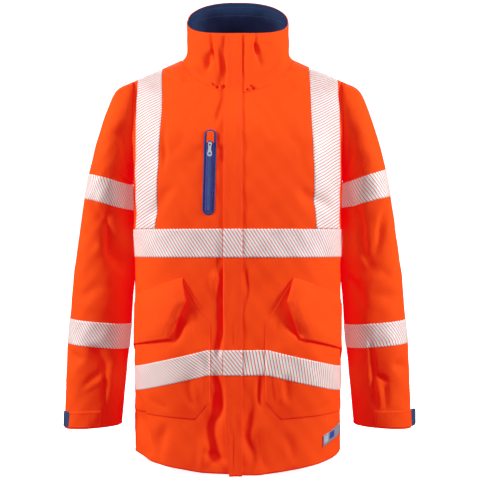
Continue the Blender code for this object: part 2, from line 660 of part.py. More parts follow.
def chest_pocket():
    outer = stadium(WELT_LENGTH, WELT_WIDTH, 0.0)
    inner = stadium(WELT_LENGTH, WELT_WIDTH, WELT_RIM)
    rows = [[welt_place(a, o, WELT_LIFT) for a, o in outline] for outline in (outer, inner)]
    sheet("chest_pocket_welt", rows, blue_trim(), WELT_WALL, closed=True, outward=True)
    half = WELT_WIDTH / 2 - WELT_RIM - ZIP_TAPE_CLEAR
    first = WELT_WIDTH / 2 - 0.001
    last = WELT_LENGTH - first
    rows = [[welt_place(blend(first, last, i / (ZIP_TAPE_ROWS - 1)), o, ZIP_LIFT)
             for o in (half, 0.0, -half)] for i in range(ZIP_TAPE_ROWS)]
    sheet("chest_zip_tape", rows, blue_trim(), TAPE_WALL, outward=True)
    coil_lift = ZIP_LIFT + TAPE_WALL + COIL_CLEAR + COIL_RADIUS
    coil_ends = (SLIDER_DROP + SLIDER_SIZE[2] / 2 + 2 * COIL_CLEAR, last - 0.001)
    spots = [welt_place(blend(*coil_ends, i / (COIL_SPOTS - 1)), 0.0, coil_lift)
             for i in range(COIL_SPOTS)]
    rod("chest_zip_coil", spots, COIL_RADIUS, blue_trim())
    slider_and_pull()


def rod(name, spots, radius, material):
    data = bpy.data.curves.new(name, "CURVE")
    data.dimensions = "3D"
    data.bevel_depth = radius
    data.bevel_resolution = 2
    data.use_fill_caps = True
    spline = data.splines.new("POLY")
    spline.points.add(len(spots) - 1)
    for point, spot in zip(spline.points, spots):
        point.co = (*spot, 1.0)
    data.materials.append(material)
    piece = bpy.data.objects.new(name, data)
    parts.objects.link(piece)


def turned_frame(lift):
    """Place and tilt of the slider: its down axis follows the zip on the chest."""
    here = welt_place(SLIDER_DROP, 0.0, lift)
    fall = welt_place(SLIDER_DROP + 0.03, 0.0, lift) - here
    return here, math.atan2(fall.y, fall.z) - math.pi


def slider_and_pull():
    here, tilt = turned_frame(ZIP_LIFT + TAPE_WALL + SLIDER_CLEAR + SLIDER_SIZE[1] / 2)
    bpy.ops.mesh.primitive_cube_add(size=1.0, location=here, rotation=(-tilt, 0.0, 0.0))
    slider = bpy.context.object
    slider.name = slider.data.name = "chest_zip_slider"
    slider.scale = SLIDER_SIZE
    bpy.ops.object.transform_apply(location=False, rotation=False, scale=True)
    edge = slider.modifiers.new("edges", "BEVEL")
    edge.width = SLIDER_EDGE
    edge.segments = 2
    slider.data.materials.append(blue_trim())
    for collection in list(slider.users_collection):
        collection.objects.unlink(slider)
    parts.objects.link(slider)

    hinge, tilt = turned_frame(PULL_HINGE_LIFT)
    outline = pull_outline()
    front = [(x, -PULL_THICK / 2, z) for x, z in outline]
    behind = [(x, PULL_THICK / 2, z) for x, z in outline]
    count = len(outline) // 2
    vertices = front + behind
    faces = []
    total = len(outline)
    for i in range(count):
        j = (i + 1) % count
        a, b, c, d = i, j, count + j, count + i
        faces.append((a, d, c, b))
        faces.append((total + a, total + b, total + c, total + d))
        faces.append((a, b, total + b, total + a))
        faces.append((count + j, count + i, total + count + i, total + count + j))
    pull = add_object("chest_zip_pull", vertices, faces, white_plastic())
    pull.location = hinge
    pull.rotation_euler = (-tilt, 0.0, 0.0)


def pull_outline():
    """Teardrop loop and the eye near its upper end, hung from the hinge."""
    count = 16
    loop, eye = [], []
    for i in range(count):
        turn = 2 * math.pi * i / count
        down = 0.5 - 0.5 * math.cos(turn)
        width = PULL_WIDTH / 2 * (0.62 + 0.38 * down)
        loop.append((width * math.sin(turn), PULL_TOP - PULL_LENGTH * down))
        eye.append((EYE[0] * math.sin(turn), EYE[2] + EYE[1] * math.cos(turn)))
    return loop + eye


# ---- label near the hem --------------------------------------------------
def hem_label():
    (x0, z0), (x1, z1) = LABEL_CORNERS
    rows = []
    for drop in (0.0, 0.5, 1.0):
        rows.append([torso(blend(x0, x1, share), blend(z0, z1, share) - LABEL_HEIGHT * drop, LABEL_LIFT)
                     for share in (0.0, 0.33, 0.66, 1.0)])
    sheet("hem_label", rows, label_film(), TAPE_WALL, outward=True)


def clear_scene():
    for piece in list(bpy.data.objects):
        bpy.data.objects.remove(piece, do_unlink=True)
    bpy.context.scene.collection.children.link(parts)


clear_scene()
body_panels()
collar()
storm_flap()
sleeves()
body_tapes()
pockets()
chest_pocket()
hem_label()
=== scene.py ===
import math

import bpy
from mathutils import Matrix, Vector


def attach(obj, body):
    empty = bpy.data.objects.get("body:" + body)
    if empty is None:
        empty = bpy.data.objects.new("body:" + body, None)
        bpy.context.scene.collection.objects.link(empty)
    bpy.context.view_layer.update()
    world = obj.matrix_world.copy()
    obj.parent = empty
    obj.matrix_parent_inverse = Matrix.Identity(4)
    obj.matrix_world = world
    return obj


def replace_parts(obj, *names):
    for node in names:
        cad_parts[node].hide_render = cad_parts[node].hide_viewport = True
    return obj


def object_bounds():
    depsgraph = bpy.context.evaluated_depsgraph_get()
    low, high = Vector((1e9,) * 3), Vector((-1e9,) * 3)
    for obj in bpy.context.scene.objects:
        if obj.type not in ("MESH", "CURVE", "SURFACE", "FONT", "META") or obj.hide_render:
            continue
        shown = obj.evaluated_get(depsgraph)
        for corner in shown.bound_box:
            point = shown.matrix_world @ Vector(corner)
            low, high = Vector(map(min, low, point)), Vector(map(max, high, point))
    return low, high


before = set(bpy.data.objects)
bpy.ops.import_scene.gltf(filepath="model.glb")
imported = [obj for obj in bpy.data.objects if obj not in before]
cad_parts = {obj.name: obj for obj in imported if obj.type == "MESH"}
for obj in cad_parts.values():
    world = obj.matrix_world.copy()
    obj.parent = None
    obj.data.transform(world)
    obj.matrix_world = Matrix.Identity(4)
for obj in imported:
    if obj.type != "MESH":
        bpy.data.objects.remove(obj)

cad_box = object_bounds()

# ==== Fronts and back ====================================================
# The two fronts and the back are cut from orange polyester with a waterproof
# coating, sewn at the shoulders and sides, and hang in the shape the wearer
# gives them.  The sizes are those of the cut solids, on a finer grid.
WALL, SEAM = 0.0014, 0.0004
NECK_HALF, ARM_X = 0.105, 0.1985
SHOULDER_NECK_Z, SHOULDER_TIP_Z, UNDERARM_Z = -0.004, -0.0455, -0.234
ARMHOLE_FRONT, ARMHOLE_BACK = 0.058, 0.064
FRONT_NECK_DROP, BACK_NECK_DROP, NECKLINE_POWER = 0.075, 0.008, 0.62
NECK_ARCH = 0.016        # how far the shoulder line rises between the neck points
ROUND_H = 0.16           # height over which the shoulders round off to the full depth
BRACE_IN, BRACE_OUT = 0.142, 0.1905
EDGE = 0.2505
CHEST_TAPE = (-0.33, -0.3815)
HEM_TAPE_WIDTH = 0.0455
FRONT_MEET = -0.0085
FLAP_EDGE, FLAP_SEAM = -0.0255, 0.0085
FOLD_GAIN, LAP_STEP, STEP = 2.4, 0.0006, 0.0031

# height, half-width, front depth, back depth, boxiness of the section
FORM = (
    (0.02, 0.1985, 0.12, 0.14, 3), (-0.08, 0.1985, 0.126, 0.147, 3), (-0.16, 0.1985, 0.15, 0.152, 3),
    (-0.25, 0.1985, 0.162, 0.15, 2.8), (-0.33, 0.198, 0.166, 0.143, 2.6),
    (-0.45, 0.1962, 0.166, 0.136, 2.5), (-0.6, 0.1956, 0.167, 0.146, 2.5),
    (-0.78, 0.1952, 0.169, 0.154, 2.5),
)
# across from the centre, height of the hem tape's upper edge
HEM_TAPE_TOP = ((0.0, -0.5485), (0.055, -0.5485), (0.142, -0.572), (BRACE_OUT, -0.586),
                (EDGE, -0.59))
HEM_TAPE_SIDE, HEM_TAPE_BACK_RISE = -0.59, 0.012
# across, height of the fronts' hem; the back's is level
HEM_LINE = (
    (-EDGE, -0.752), (-0.1905, -0.7488), (-0.182, -0.75), (-0.168, -0.7542), (-0.137, -0.7601),
    (-0.1074, -0.7639), (-0.0786, -0.768), (-0.05, -0.7703), (-0.02, -0.7712), (0.022, -0.7742),
    (0.037, -0.7738), (0.051, -0.772), (0.08, -0.7685), (0.109, -0.7647), (0.138, -0.7608),
    (0.1536, -0.7582), (0.17, -0.754), (0.182, -0.7512), (0.1905, -0.7495), (EDGE, -0.752),
)
BACK_HEM_Z = -0.756


def metres(rows):
    """A table that is written in millimetres."""
    return tuple(tuple(value / 1000 for value in row) for row in rows)


# in mm: across, height, half-length across, half-length down, push out (+) or in (-)
FRONT_SWELLS = metres((
    (-40, -440, 12, 45, -3), (45, -450, 13, 40, -2.2), (-90, -300, 30, 60, 2), (85, -290, 30, 60, 2),
    (-45, -720, 16, 40, -3), (62, -730, 18, 35, -2.8), (-120, -740, 22, 40, 3), (125, -740, 20, 40, 2.6),
))
SPINE_HOLLOW = metres(((0, -300, 30, 160, 4),))
# creases in mm: from across, height, to across, height, half-width, push out (+) or in (-)
FRONT_CREASES = metres((
    (-27.5, -404, -29, -500, 3.6, -3.6), (-31, -480, -33, -556, 7, -4.2), (-43, -386, -39, -450, 6, 2.2),
    (15, -405, 15, -462, 4.5, -1.4), (-34.5, -594, -32.5, -670, 7.6, -4), (-42, -628, -36, -660, 8, -3),
    (38, -600, 44, -650, 5.5, -2.6), (-43, -645, -40, -735, 12, -4.6), (-58, -738, -21, -744, 8, -3),
    (-185, -645, -170, -712, 5.5, -4), (-178, -670, -174, -750, 12, -3.4),
    (-131, -145, -136, -215, 4.5, -1.6), (-106, -60, -80, -52, 4.5, -1.2), (82, -56, 115, -70, 5, -1.2),
    (-62, -690, -60, -765, 8, 2.6), (19, -640, 25, -768, 11, -3.4), (42, -700, 46, -766, 7.5, -2.2),
    (92, -700, 96, -750, 9, -1.4), (-135, -690, -142, -750, 9, -2.6), (70, -110, 118, -205, 10, -1.6),
    (-72, -100, -120, -190, 10, -1.4), (30, -96, 62, -160, 6, -1.4), (-30, -96, -44, -140, 5.5, -1.4),
    (120, -255, 170, -300, 11, -2.2), (-115, -260, -170, -305, 11, -2), (-33, -388, -48, -412, 6, -1.6),
))
BACK_CREASES = metres((
    (0, -60, 3, -190, 12, -1.4), (80, -150, 145, -240, 12, -2.6), (-85, -140, -150, -235, 12, -2.4),
    (30, -400, 120, -455, 11, -3), (-20, -410, -115, -450, 10, -2.8), (-60, -470, 50, -490, 12, -2.4),
    (50, -640, 56, -750, 13, -3.6), (-65, -650, -72, -752, 12, -3.4), (-5, -660, -2, -750, 14, 3),
    (125, -650, 132, -750, 12, 2.8),
))


def mix(a, b, share):
    return a + (b - a) * share


def clamp(value, low=0.0, high=1.0):
    return max(low, min(high, value))


def bump(distance, reach):
    return math.exp(-(distance / reach) ** 2)


def straight(rows, key, column=1):
    """Read a table sorted by its first column, straight between rows."""
    if key <= rows[0][0]:
        return rows[0][column]
    for low, high in zip(rows, rows[1:]):
        if key <= high[0]:
            return mix(low[column], high[column], (key - low[0]) / (high[0] - low[0]))
    return rows[-1][column]


def eased(rows, key, column):
    """As straight, with the slope carried through each row."""
    last = len(rows) - 1
    if not rows[0][0] < key <= rows[last][0]:
        return straight(rows, key, column)
    i = next(i for i in range(last) if key <= rows[i + 1][0])
    before, low, high, after = (rows[j] for j in (max(i - 1, 0), i, i + 1, min(i + 2, last)))
    step, y0, y1 = high[0] - low[0], low[column], high[column]
    slope0 = (y1 - before[column]) / (high[0] - before[0])
    slope1 = (after[column] - y0) / (after[0] - low[0])
    share = (key - low[0]) / step
    square, cube = share * share, share ** 3
    return ((2 * cube - 3 * square + 1) * y0 + (cube - 2 * square + share) * step * slope0
            + (3 * square - 2 * cube) * y1 + (cube - square) * step * slope1)


FORM_UP = sorted(FORM)
form_cache = {}


def form_at(z):
    """Half-width, front depth, back depth and boxiness at a height, kept once they are worked out."""
    key = round(z, 5)
    if key not in form_cache:
        form_cache[key] = tuple(eased(FORM_UP, key, column) for column in (1, 2, 3, 4))
    return form_cache[key]


def beside(across, z, a0, z0, a1, z1):
    """Length of the line between two spots, and how far along it and off it the point lies."""
    run_a, run_z = a1 - a0, z1 - z0
    length = math.hypot(run_a, run_z)
    return (length, ((across - a0) * run_a + (z - z0) * run_z) / length,
            ((across - a0) * run_z - (z - z0) * run_a) / length)


CREASE_TAPER, CREASE_WANDER, WANDER_WAVE = 0.52, 0.5, 60.0
REACHES = 3              # beyond so many half-widths a crease no longer counts


def crease_push(creases, across, z):
    """Sum of the creases at one spot; each fades out towards its two ends."""
    total = 0.0
    for *line, reach, push in creases:
        length, along, off = beside(across, z, *line)
        if -0.4 * length < along < 1.4 * length and abs(off) <= REACHES * reach:
            middle = abs(along / length - 0.5)
            wander = reach * CREASE_WANDER * math.sin(along * WANDER_WAVE + line[0] * 400.0)
            narrowed = reach * (1.15 - 0.5 * middle)
            total += push * math.exp(-(middle / CREASE_TAPER) ** 4) * bump(off + wander, narrowed)
    return total


def lap_push(laps, across, z):
    """Cloth lapped over itself: steps up at a line and sinks back over relax metres past it."""
    total = 0.0
    for *line, relax, push in laps:
        length, along, off = beside(across, z, *line)
        past = -off * math.copysign(1.0, push)
        if -0.3 * length < along < 1.3 * length and abs(past) < 5 * relax:
            step = 1 / (1 + math.exp(-clamp(past / LAP_STEP, -30.0, 30.0)))
            total += abs(push) * step * math.exp(-max(past, 0.0) / relax) * bump(along / length - 0.5, 0.48)
    return total


def swell_push(swells, across, z):
    """Sum of soft bulges and hollows at one spot."""
    return sum(push * bump(across - at, reach) * bump(z - height, length)
               for at, height, reach, length, push in swells)


RIPPLE = 0.00042


def ripple(a, b, seed):
    """Soft uneven waves of hung cloth, under a millimetre high."""
    return RIPPLE * (math.sin(a * 47 + b * 21 + seed) * math.sin(b * 33 - a * 15 + 2.1 * seed)
                     + 0.6 * math.sin(a * 96 - b * 40 + 1.7 * seed) * math.sin(b * 71 + seed)
                     + 0.35 * math.sin(a * 170 + b * 130 + seed * 0.7))


def shoulder_z(x):
    x = abs(x)
    if x >= NECK_HALF:
        return mix(SHOULDER_NECK_Z, SHOULDER_TIP_Z, (x - NECK_HALF) / (ARM_X - NECK_HALF))
    return SHOULDER_NECK_Z + NECK_ARCH * (1 - (x / NECK_HALF) ** 2)


def round_off(drop):
    share = clamp(drop / ROUND_H)
    return math.sqrt(1 - (1 - share) ** 2)


def armhole_depth(z, back):
    middle, half = (SHOULDER_TIP_Z + UNDERARM_Z) / 2, (SHOULDER_TIP_Z - UNDERARM_Z) / 2
    share = clamp(abs(z - middle) / half)
    return (ARMHOLE_BACK if back else ARMHOLE_FRONT) * math.sqrt(1 - share ** 2)


def top_z(across, back):
    """Upper edge of a panel: the neckline, then the shoulder seam."""
    across = abs(across)
    if across < NECK_HALF:
        drop = BACK_NECK_DROP if back else FRONT_NECK_DROP
        return SHOULDER_NECK_Z - drop * (1 - (across / NECK_HALF) ** 2) ** NECKLINE_POWER
    if across < BRACE_OUT:
        return shoulder_z(across)
    return shoulder_z(mix(BRACE_OUT, ARM_X, (across - BRACE_OUT) / (EDGE - BRACE_OUT)))


def bare_torso(across, z, back):
    """Point of the jacket's body without creases; across runs on round the side to EDGE."""
    side = math.copysign(1.0, across)
    across = min(abs(across), EDGE)
    half, front_depth, back_depth, box = form_at(z)
    depth = back_depth if back else front_depth
    if across <= BRACE_OUT:
        x = across
        y = depth * round_off(shoulder_z(x) - z) * (1 - (x / half) ** box) ** (1 / box)
    else:
        share = (across - BRACE_OUT) / (EDGE - BRACE_OUT)
        start, end = math.asin((BRACE_OUT / half) ** (box / 2)), math.pi / 2
        if z > UNDERARM_Z:
            edge_depth = max(depth * round_off(shoulder_z(ARM_X) - z), 1e-6)
            end = math.acos(clamp(armhole_depth(z, back) / edge_depth, 0.0, 0.5) ** (box / 2))
        turn = mix(start, end, share)
        x = half * math.sin(turn) ** (2 / box)
        if z > UNDERARM_Z:
            x = min(x + (ARM_X - half * math.sin(end) ** (2 / box)) * share, ARM_X)
        y = depth * round_off(shoulder_z(x) - z) * max(math.cos(turn), 0.0) ** (2 / box)
    y += SEAM + 0.0004 * bump(shoulder_z(x) - z, 0.006)
    if back:
        y -= swell_push(SPINE_HOLLOW, x, z)
    else:
        y += swell_push(FRONT_SWELLS, side * across, z)
    return Vector((side * x, y if back else -y, z))


TOP_QUIET, SIDE_QUIET = 0.02, 0.012      # creases fade out this near a panel's top and sides


def torso(across, z, lift=0.0, back=False, folds=1.0):
    """Point of the jacket's body with its creases, moved out by lift."""
    point = bare_torso(across, z, back)
    step = 0.003
    up, down = min(z + step, top_z(across, back)), min(z, top_z(across, back)) - step
    right, left = across + step, across - step
    if abs(across) + step > EDGE:
        right, left = (across, across - step) if across > 0 else (across + step, across)
    along = bare_torso(right, z, back) - bare_torso(left, z, back)
    fall = bare_torso(across, down, back) - bare_torso(across, up, back)
    normal = (along.cross(fall) if back else fall.cross(along)).normalized()
    quiet = clamp((top_z(across, back) - z) / TOP_QUIET) * clamp((EDGE - abs(across)) / SIDE_QUIET)
    push = crease_push(BACK_CREASES if back else FRONT_CREASES, across, z)
    push += ripple(across, z, 3.0 if back else 1.0)
    return point + normal * (lift + FOLD_GAIN * folds * quiet * push)


def hem_z(across, back):
    return BACK_HEM_Z if back else eased(HEM_LINE, across, 1)


def hem_tape_top(across, back=False):
    if back:
        return HEM_TAPE_SIDE + HEM_TAPE_BACK_RISE * (1 - (abs(across) / EDGE) ** 2)
    return straight(HEM_TAPE_TOP, abs(across))


def spread(stops, step):
    """Values from the first stop to the last with every stop kept, no more than a step apart."""
    values = [stops[0]]
    for low, high in zip(stops, stops[1:]):
        count = max(1, math.ceil(abs(high - low) / step - 1e-9))
        values += [mix(low, high, (i + 1) / count) for i in range(count)]
    return values


def steps(count):
    """Shares from 0 to 1 in so many equal steps."""
    return [i / count for i in range(count + 1)]


def sums(operation, swapped=False):
    """An operator of Field as a Math node; swapped where the number stands first."""
    def operate(self, other=0.0):
        values = {int(swapped): self, int(not swapped): other}
        return self.build.node("ShaderNodeMath", {"operation": operation}, values)
    return operate


class Field:
    """A shader socket that takes part in sums as a number does."""

    __add__ = __radd__ = sums("ADD")
    __sub__, __rsub__ = sums("SUBTRACT"), sums("SUBTRACT", True)
    __mul__ = __rmul__ = sums("MULTIPLY")
    __gt__, __mod__ = sums("GREATER_THAN"), sums("FLOORED_MODULO")
    size, sine = sums("ABSOLUTE"), sums("SINE")

    def __init__(self, build, socket):
        self.build, self.socket = build, socket

    def ramp(self, low, high):
        """0 at low and 1 at high, eased."""
        settings = {"interpolation_type": "SMOOTHSTEP"}
        return self.build.node("ShaderNodeMapRange", settings, {0: self, 1: low, 2: high})


class Finish:
    """One material: its Principled shader and the nodes that feed it."""

    def __init__(self, name, colour, roughness, metallic=0.0, **constants):
        self.material = bpy.data.materials.new(name)
        self.material.use_nodes = True
        self.tree = self.material.node_tree
        self.shader = self.tree.nodes["Principled BSDF"]
        self.set("Base Color", colour)
        self.set("Roughness", roughness)
        self.set("Metallic", metallic)
        for key, value in constants.items():
            self.set(key.replace("_", " "), value)

    def set(self, name, value):
        self._feed(self.shader.inputs[name], value)

    def _feed(self, socket, value):
        if isinstance(value, Field):
            self.tree.links.new(value.socket, socket)
        elif hasattr(value, "__len__") and len(value) == 3 and len(socket.default_value) == 4:
            socket.default_value = (*value, 1.0)
        else:
            socket.default_value = value

    def node(self, kind, settings=None, inputs=None, output=0):
        node = self.tree.nodes.new(kind)
        for key, value in (settings or {}).items():
            setattr(node, key, value)
        for key, value in (inputs or {}).items():
            self._feed(node.inputs[key], value)
        return Field(self, node.outputs[output])

    def measure(self, name):
        """A distance kept on the cloth's own points, such as across or down, in metres."""
        return self.node("ShaderNodeAttribute", {"attribute_name": name}, output="Fac")

    def noise(self, scale, detail=3.0):
        spot = self.node("ShaderNodeTexCoord", output="Object")
        return self.node("ShaderNodeTexNoise", None, {"Vector": spot, "Scale": scale, "Detail": detail})

    def tint(self, mask, low, high):
        return self.node("ShaderNodeMix", {"data_type": "RGBA"}, {0: mask, 6: low, 7: high}, output=2)

    def colour(self, mask, low, high):
        self.set("Base Color", self.tint(mask, low, high))

    def glow(self, colour, strength):
        self.set("Emission Color", colour)
        self.set("Emission Strength", strength)

    def relief(self, height, distance, strength=1.0):
        inputs = {"Height": height, "Distance": distance, "Strength": strength}
        self.set("Normal", self.node("ShaderNodeBump", None, inputs))


ORANGE, ORANGE_DEEP = (0.47, 0.0735, 0.0042), (0.43, 0.062, 0.0034)
PAINTED_GLOW, PAINTED_RED_GLOW = 0.46, (1.0, 0.0, 0.007)        # painted glow: red emission in place of the dye's fluorescence, which keeps shaded cloth red


def orange_cloth():
    """Matt fluorescent polyester: plain weave under a soft coating, a little uneven in colour."""
    cloth = Finish("orange_shell", ORANGE, 0.85)
    weave = (cloth.measure("across") * 5200.0).sine() * (cloth.measure("down") * 5200.0).sine()
    patches = cloth.noise(9.0, 4.0)
    fibre = cloth.noise(420.0, 2.0)
    cloth.colour(patches.ramp(0.3, 0.72) * 0.7 + fibre * 0.3, ORANGE_DEEP, ORANGE)
    cloth.set("Roughness", patches * 0.16 + 0.74)
    # painted glow: the cloth gives off red light of its own, even in shade, standing in for its
    # fluorescence
    cloth.glow(PAINTED_RED_GLOW, PAINTED_GLOW)
    cloth.set("Specular IOR Level", 0.06)
    cloth.relief(weave * 0.3 + fibre * 0.7 + cloth.noise(60.0, 3.0) * 1.6, 0.00035, 0.5)
    return cloth


shell_finish = orange_cloth()
SIDES = ((1, "left"), (-1, "right"))     # the wearer's, with the way that x runs there


def add_mesh(name, vertices, faces, finish):
    mesh = bpy.data.meshes.new(name)
    mesh.from_pydata([tuple(point) for point in vertices], [], faces)
    mesh.materials.append(finish.material)
    mesh.shade_smooth()
    piece = bpy.data.objects.new(name, mesh)
    bpy.context.scene.collection.objects.link(piece)
    return piece


def grid_faces(rows, columns, closed):
    return [(r * columns + c, (r + 1) * columns + c, (r + 1) * columns + (c + 1) % columns,
             r * columns + (c + 1) % columns)
            for r in range(rows - 1) for c in range(columns if closed else columns - 1)]


def cloth_piece(name, rows, finish, wall, node, slot, rests=(), closed=False, outward=True,
                held="stretched", measures=None):
    """A thin sheet through rows of points, its lengths across and down kept on its points."""
    across = len(rows[0])
    piece = add_mesh(name, [point for row in rows for point in row],
                     grid_faces(len(rows), across, closed), finish)
    reach_a, reach_d = [], []
    for r, row in enumerate(rows):
        along = 0.0
        for c, point in enumerate(row):
            along += (point - row[c - 1]).length if c else 0.0
            reach_a.append(along)
            reach_d.append((point - rows[r - 1][c]).length + reach_d[-across] if r else 0.0)
    for key, values in (measures or {"across": reach_a, "down": reach_d}).items():
        piece.data.attributes.new(key, "FLOAT", "POINT").data.foreach_set("value", values)
    solid = piece.modifiers.new("wall", "SOLIDIFY")
    solid.thickness, solid.offset = wall, 1.0 if outward else -1.0
    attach(piece, "jacket")
    if node:
        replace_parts(piece, node)


def shell_piece(node, rows, wall, rests=(), **how):
    """A piece of the orange shell cloth, named after the solid that it dresses."""
    cloth_piece(f"{node}_cloth", rows, shell_finish, wall, node, "orange_shell", rests, **how)


PANEL_ROWS, PANEL_CROWDING = 210, 1.12   # rows lie closer together towards the shoulder


def panel(name, stops, back):
    columns = spread(stops, STEP)
    columns = columns[::-1] if back else columns
    rows = [[torso(c, mix(top_z(c, back), hem_z(c, back), share ** PANEL_CROWDING), 0.0, back)
             for c in columns] for share in steps(PANEL_ROWS)]
    shell_piece(name, rows, WALL, outward=False, held="hung")


panel("front_right", [-EDGE, -BRACE_OUT, FRONT_MEET - SEAM], False)
panel("front_left", [FRONT_MEET + SEAM, BRACE_OUT, EDGE], False)
panel("back", [-EDGE, -BRACE_OUT, BRACE_OUT, EDGE], True)

# ==== Stand collar and its lining ========================================
# A tall stand collar, cut in two layers: the orange shell outside and a navy
# brushed lining inside.  A drawcord channel gathers it into pleats on both
# sides of the storm flap; the cord itself stays inside and isn't seen.
COLLAR_WALL, LINING_WALL, LINING_GAP = 0.0013, 0.0008, 0.0002
COLLAR_HALF, COLLAR_FRONT, COLLAR_BACK, COLLAR_Y = 0.0975, 0.083, 0.086, 0.001
COLLAR_BOX_FRONT, COLLAR_BOX_BACK = 2.1, 2.42
COLLAR_FRONT_Z, COLLAR_BACK_Z, COLLAR_RISE = 0.0355, 0.1215, 1.35
COLLAR_TALL, COLLAR_HOLLOW, COLLAR_ROWS = 0.117, 13, 62
# creases in mm: from across, height above the seam, to across, height, half-width, push
COLLAR_CREASES = metres((
    (-52.2, 118, -49.8, 64, 1.8, -3), (-50, 80, -50, 58, 3.2, -3.6), (-52, 72, -68, 34, 5.6, -4),
    (-64, 60, -74, 20, 11, -2.4), (-26.2, 120, -26.8, 4, 3, -1.2), (-34, 80, -35, 4, 7, -1.4),
    (-40, 104, -37, 24, 6, 1.4), (35.2, 118, 33, 84, 1.5, -2.4), (34, 94, 39.5, 74, 3, -4),
    (40, 82, 52, 46, 6, -2.4), (10, 116, 9.2, 30, 2.4, -1), (20, 100, 20, 30, 6, 1),
    (-35, 100, -33, 10, 10, -1.6), (60, 100, 64, 20, 14, -1.6), (-85, 50, -70, 10, 10, -1.4),
    (80, 55, 72, 10, 10, -1.4),
))
# laps in mm: from across, height, to across, height, relax, push; over 0 the right side is upper
COLLAR_LAPS = metres((
    (-51.5, 122, -49, 62, 10, 2), (35.3, 120, 32.6, 84, 8, -1.8),
))
# bar tacks in mm that gather the drawcord's ends: across, height, half size, push
COLLAR_TACKS = metres((
    (-47.5, 6, 2, -3.4), (-39.5, 3.5, 2.2, -4), (-33.5, 5, 2, 1.4), (-26.5, 8.5, 2.6, -4.4),
    (26.2, 9.5, 1.8, -3), (19, 4, 2, -3), (30, 4, 2.6, -4), (23.8, 5, 2, 1.2),
))


def collar_point(across, back, level, lift=0.0, creased=1.0):
    """Point of the collar, from the neck seam at level 0 to its rim at level 1."""
    seam = bare_torso(across, top_z(across, back), back)
    seam.z += SEAM / 4
    share = clamp(across / NECK_HALF, -1.0, 1.0)
    depth = COLLAR_BACK if back else COLLAR_FRONT
    box = COLLAR_BOX_BACK if back else COLLAR_BOX_FRONT
    rim_y = (1 if back else -1) * depth * (1 - abs(share) ** box) ** (1 / box)
    turn = 0.5 + 0.5 * rim_y / depth
    rise = (COLLAR_BACK_Z - COLLAR_FRONT_Z) * turn ** COLLAR_RISE
    rim = Vector((COLLAR_HALF * share, COLLAR_Y + rim_y, COLLAR_FRONT_Z + rise))
    point = seam.lerp(rim, level)
    point.x = rim.x + (seam.x - rim.x) * (1 - level) ** COLLAR_HOLLOW
    outward = point - Vector((0.0, COLLAR_Y, point.z))
    outward.normalize()
    push = 0.0
    if not back:
        height = level * COLLAR_TALL
        push = crease_push(COLLAR_CREASES, across, height) + lap_push(COLLAR_LAPS, across, height)
        for at, tall, reach, amount in COLLAR_TACKS:
            push += amount * bump(math.hypot(across - at, height - tall), reach)
        push *= clamp(level / 0.02) * (1.0 - 0.75 * clamp((level - 0.93) / 0.07))
    push += ripple(across * 1.3, level * 0.1, 5.0 if back else 7.0) * 0.6
    return point + outward * (lift + FOLD_GAIN * creased * push)


def collar_spots(count):
    """Columns round the neck: across the front to the left, then back across the rear."""
    spots = []
    for i in range(3 * count):
        share = i / (2 * count) if i <= 2 * count else 1 + (i - 2 * count) / count
        spots.append((NECK_HALF * math.sin(math.pi * (share - 0.5)), i > 2 * count))
    return spots


navy_finish = Finish("navy_lining", (0.006, 0.012, 0.04), 0.85, Specular_IOR_Level=0.15)
uneven = navy_finish.noise(26.0) * 0.03
# painted shade: the lining is darker deep inside the collar, away from its rim and its front ends, under a
# random mottle
inner = ((navy_finish.measure("down") + uneven).ramp(0.022, 0.048)
         * (navy_finish.measure("across") + uneven).ramp(0.1, 0.074))
mottle_and_shade = navy_finish.noise(30.0) * 0.3 - inner * 0.9 + 0.8
navy_finish.colour(mottle_and_shade, (0.0, 0.0011, 0.023), (0.0085, 0.023, 0.07))
navy_finish.set("Roughness", navy_finish.noise(300.0) * 0.2 + 0.7)
brushed = navy_finish.noise(900.0, 2.0) + navy_finish.noise(70.0) * 0.8
navy_finish.relief(brushed, 0.0006, 0.6)

levels = steps(COLLAR_ROWS)[::-1]
spots = collar_spots(COLLAR_ROWS)
shell_piece("collar", [[collar_point(a, b, level) for a, b in spots] for level in levels], COLLAR_WALL,
            ["front_left_cloth"], closed=True, outward=False)
inside = -(COLLAR_WALL + LINING_GAP)
levels = [mix(0.05, 0.994, level) for level in levels]
rows = [[collar_point(a, b, level, inside) for a, b in spots] for level in levels]
cloth_piece("collar_lining_cloth", rows, navy_finish, LINING_WALL, "collar_lining", "navy_cloth",
            ["collar_cloth"], True, False, measures={
                "across": [abs(point.x) for row in rows for point in row],
                "down": [(1 - level) * COLLAR_TALL for level in levels for spot in spots]})

# ==== Storm flap =========================================================
# A double strip of shell cloth over the front zip, sewn to the wearer's left
# front and held shut by hook and loop under its free edge.  It runs from the
# collar's rim to just past the hem, and is topstitched along both edges.
FLAP_LIFT, FLAP_WALL = 0.0009, 0.0013
# creases in mm: from across, height, to across, height, half-width, push
FLAP_CREASES = metres((
    (-6, -500, -8, -548, 3.5, -2.2), (-13, -405, -10, -470, 5, -1.4), (-16, -610, -11, -690, 5, -1.6),
    (-4, -650, -1, -760, 4.5, -1.6), (-22, -150, -19, -290, 5, 1), (-6, -100, -5, -220, 6, -1),
    (-15, -690, -11, -768, 5, -3),
))
# in mm: height, how far the flap's free edge draws in there
FLAP_DRAW_IN = metres(((-776, 10), (-700, 3.6), (-612, 3.3), (-596, 0)))
FLAP_FOOT_LEFT, FLAP_FOOT_RIGHT = -0.7772, -0.7758


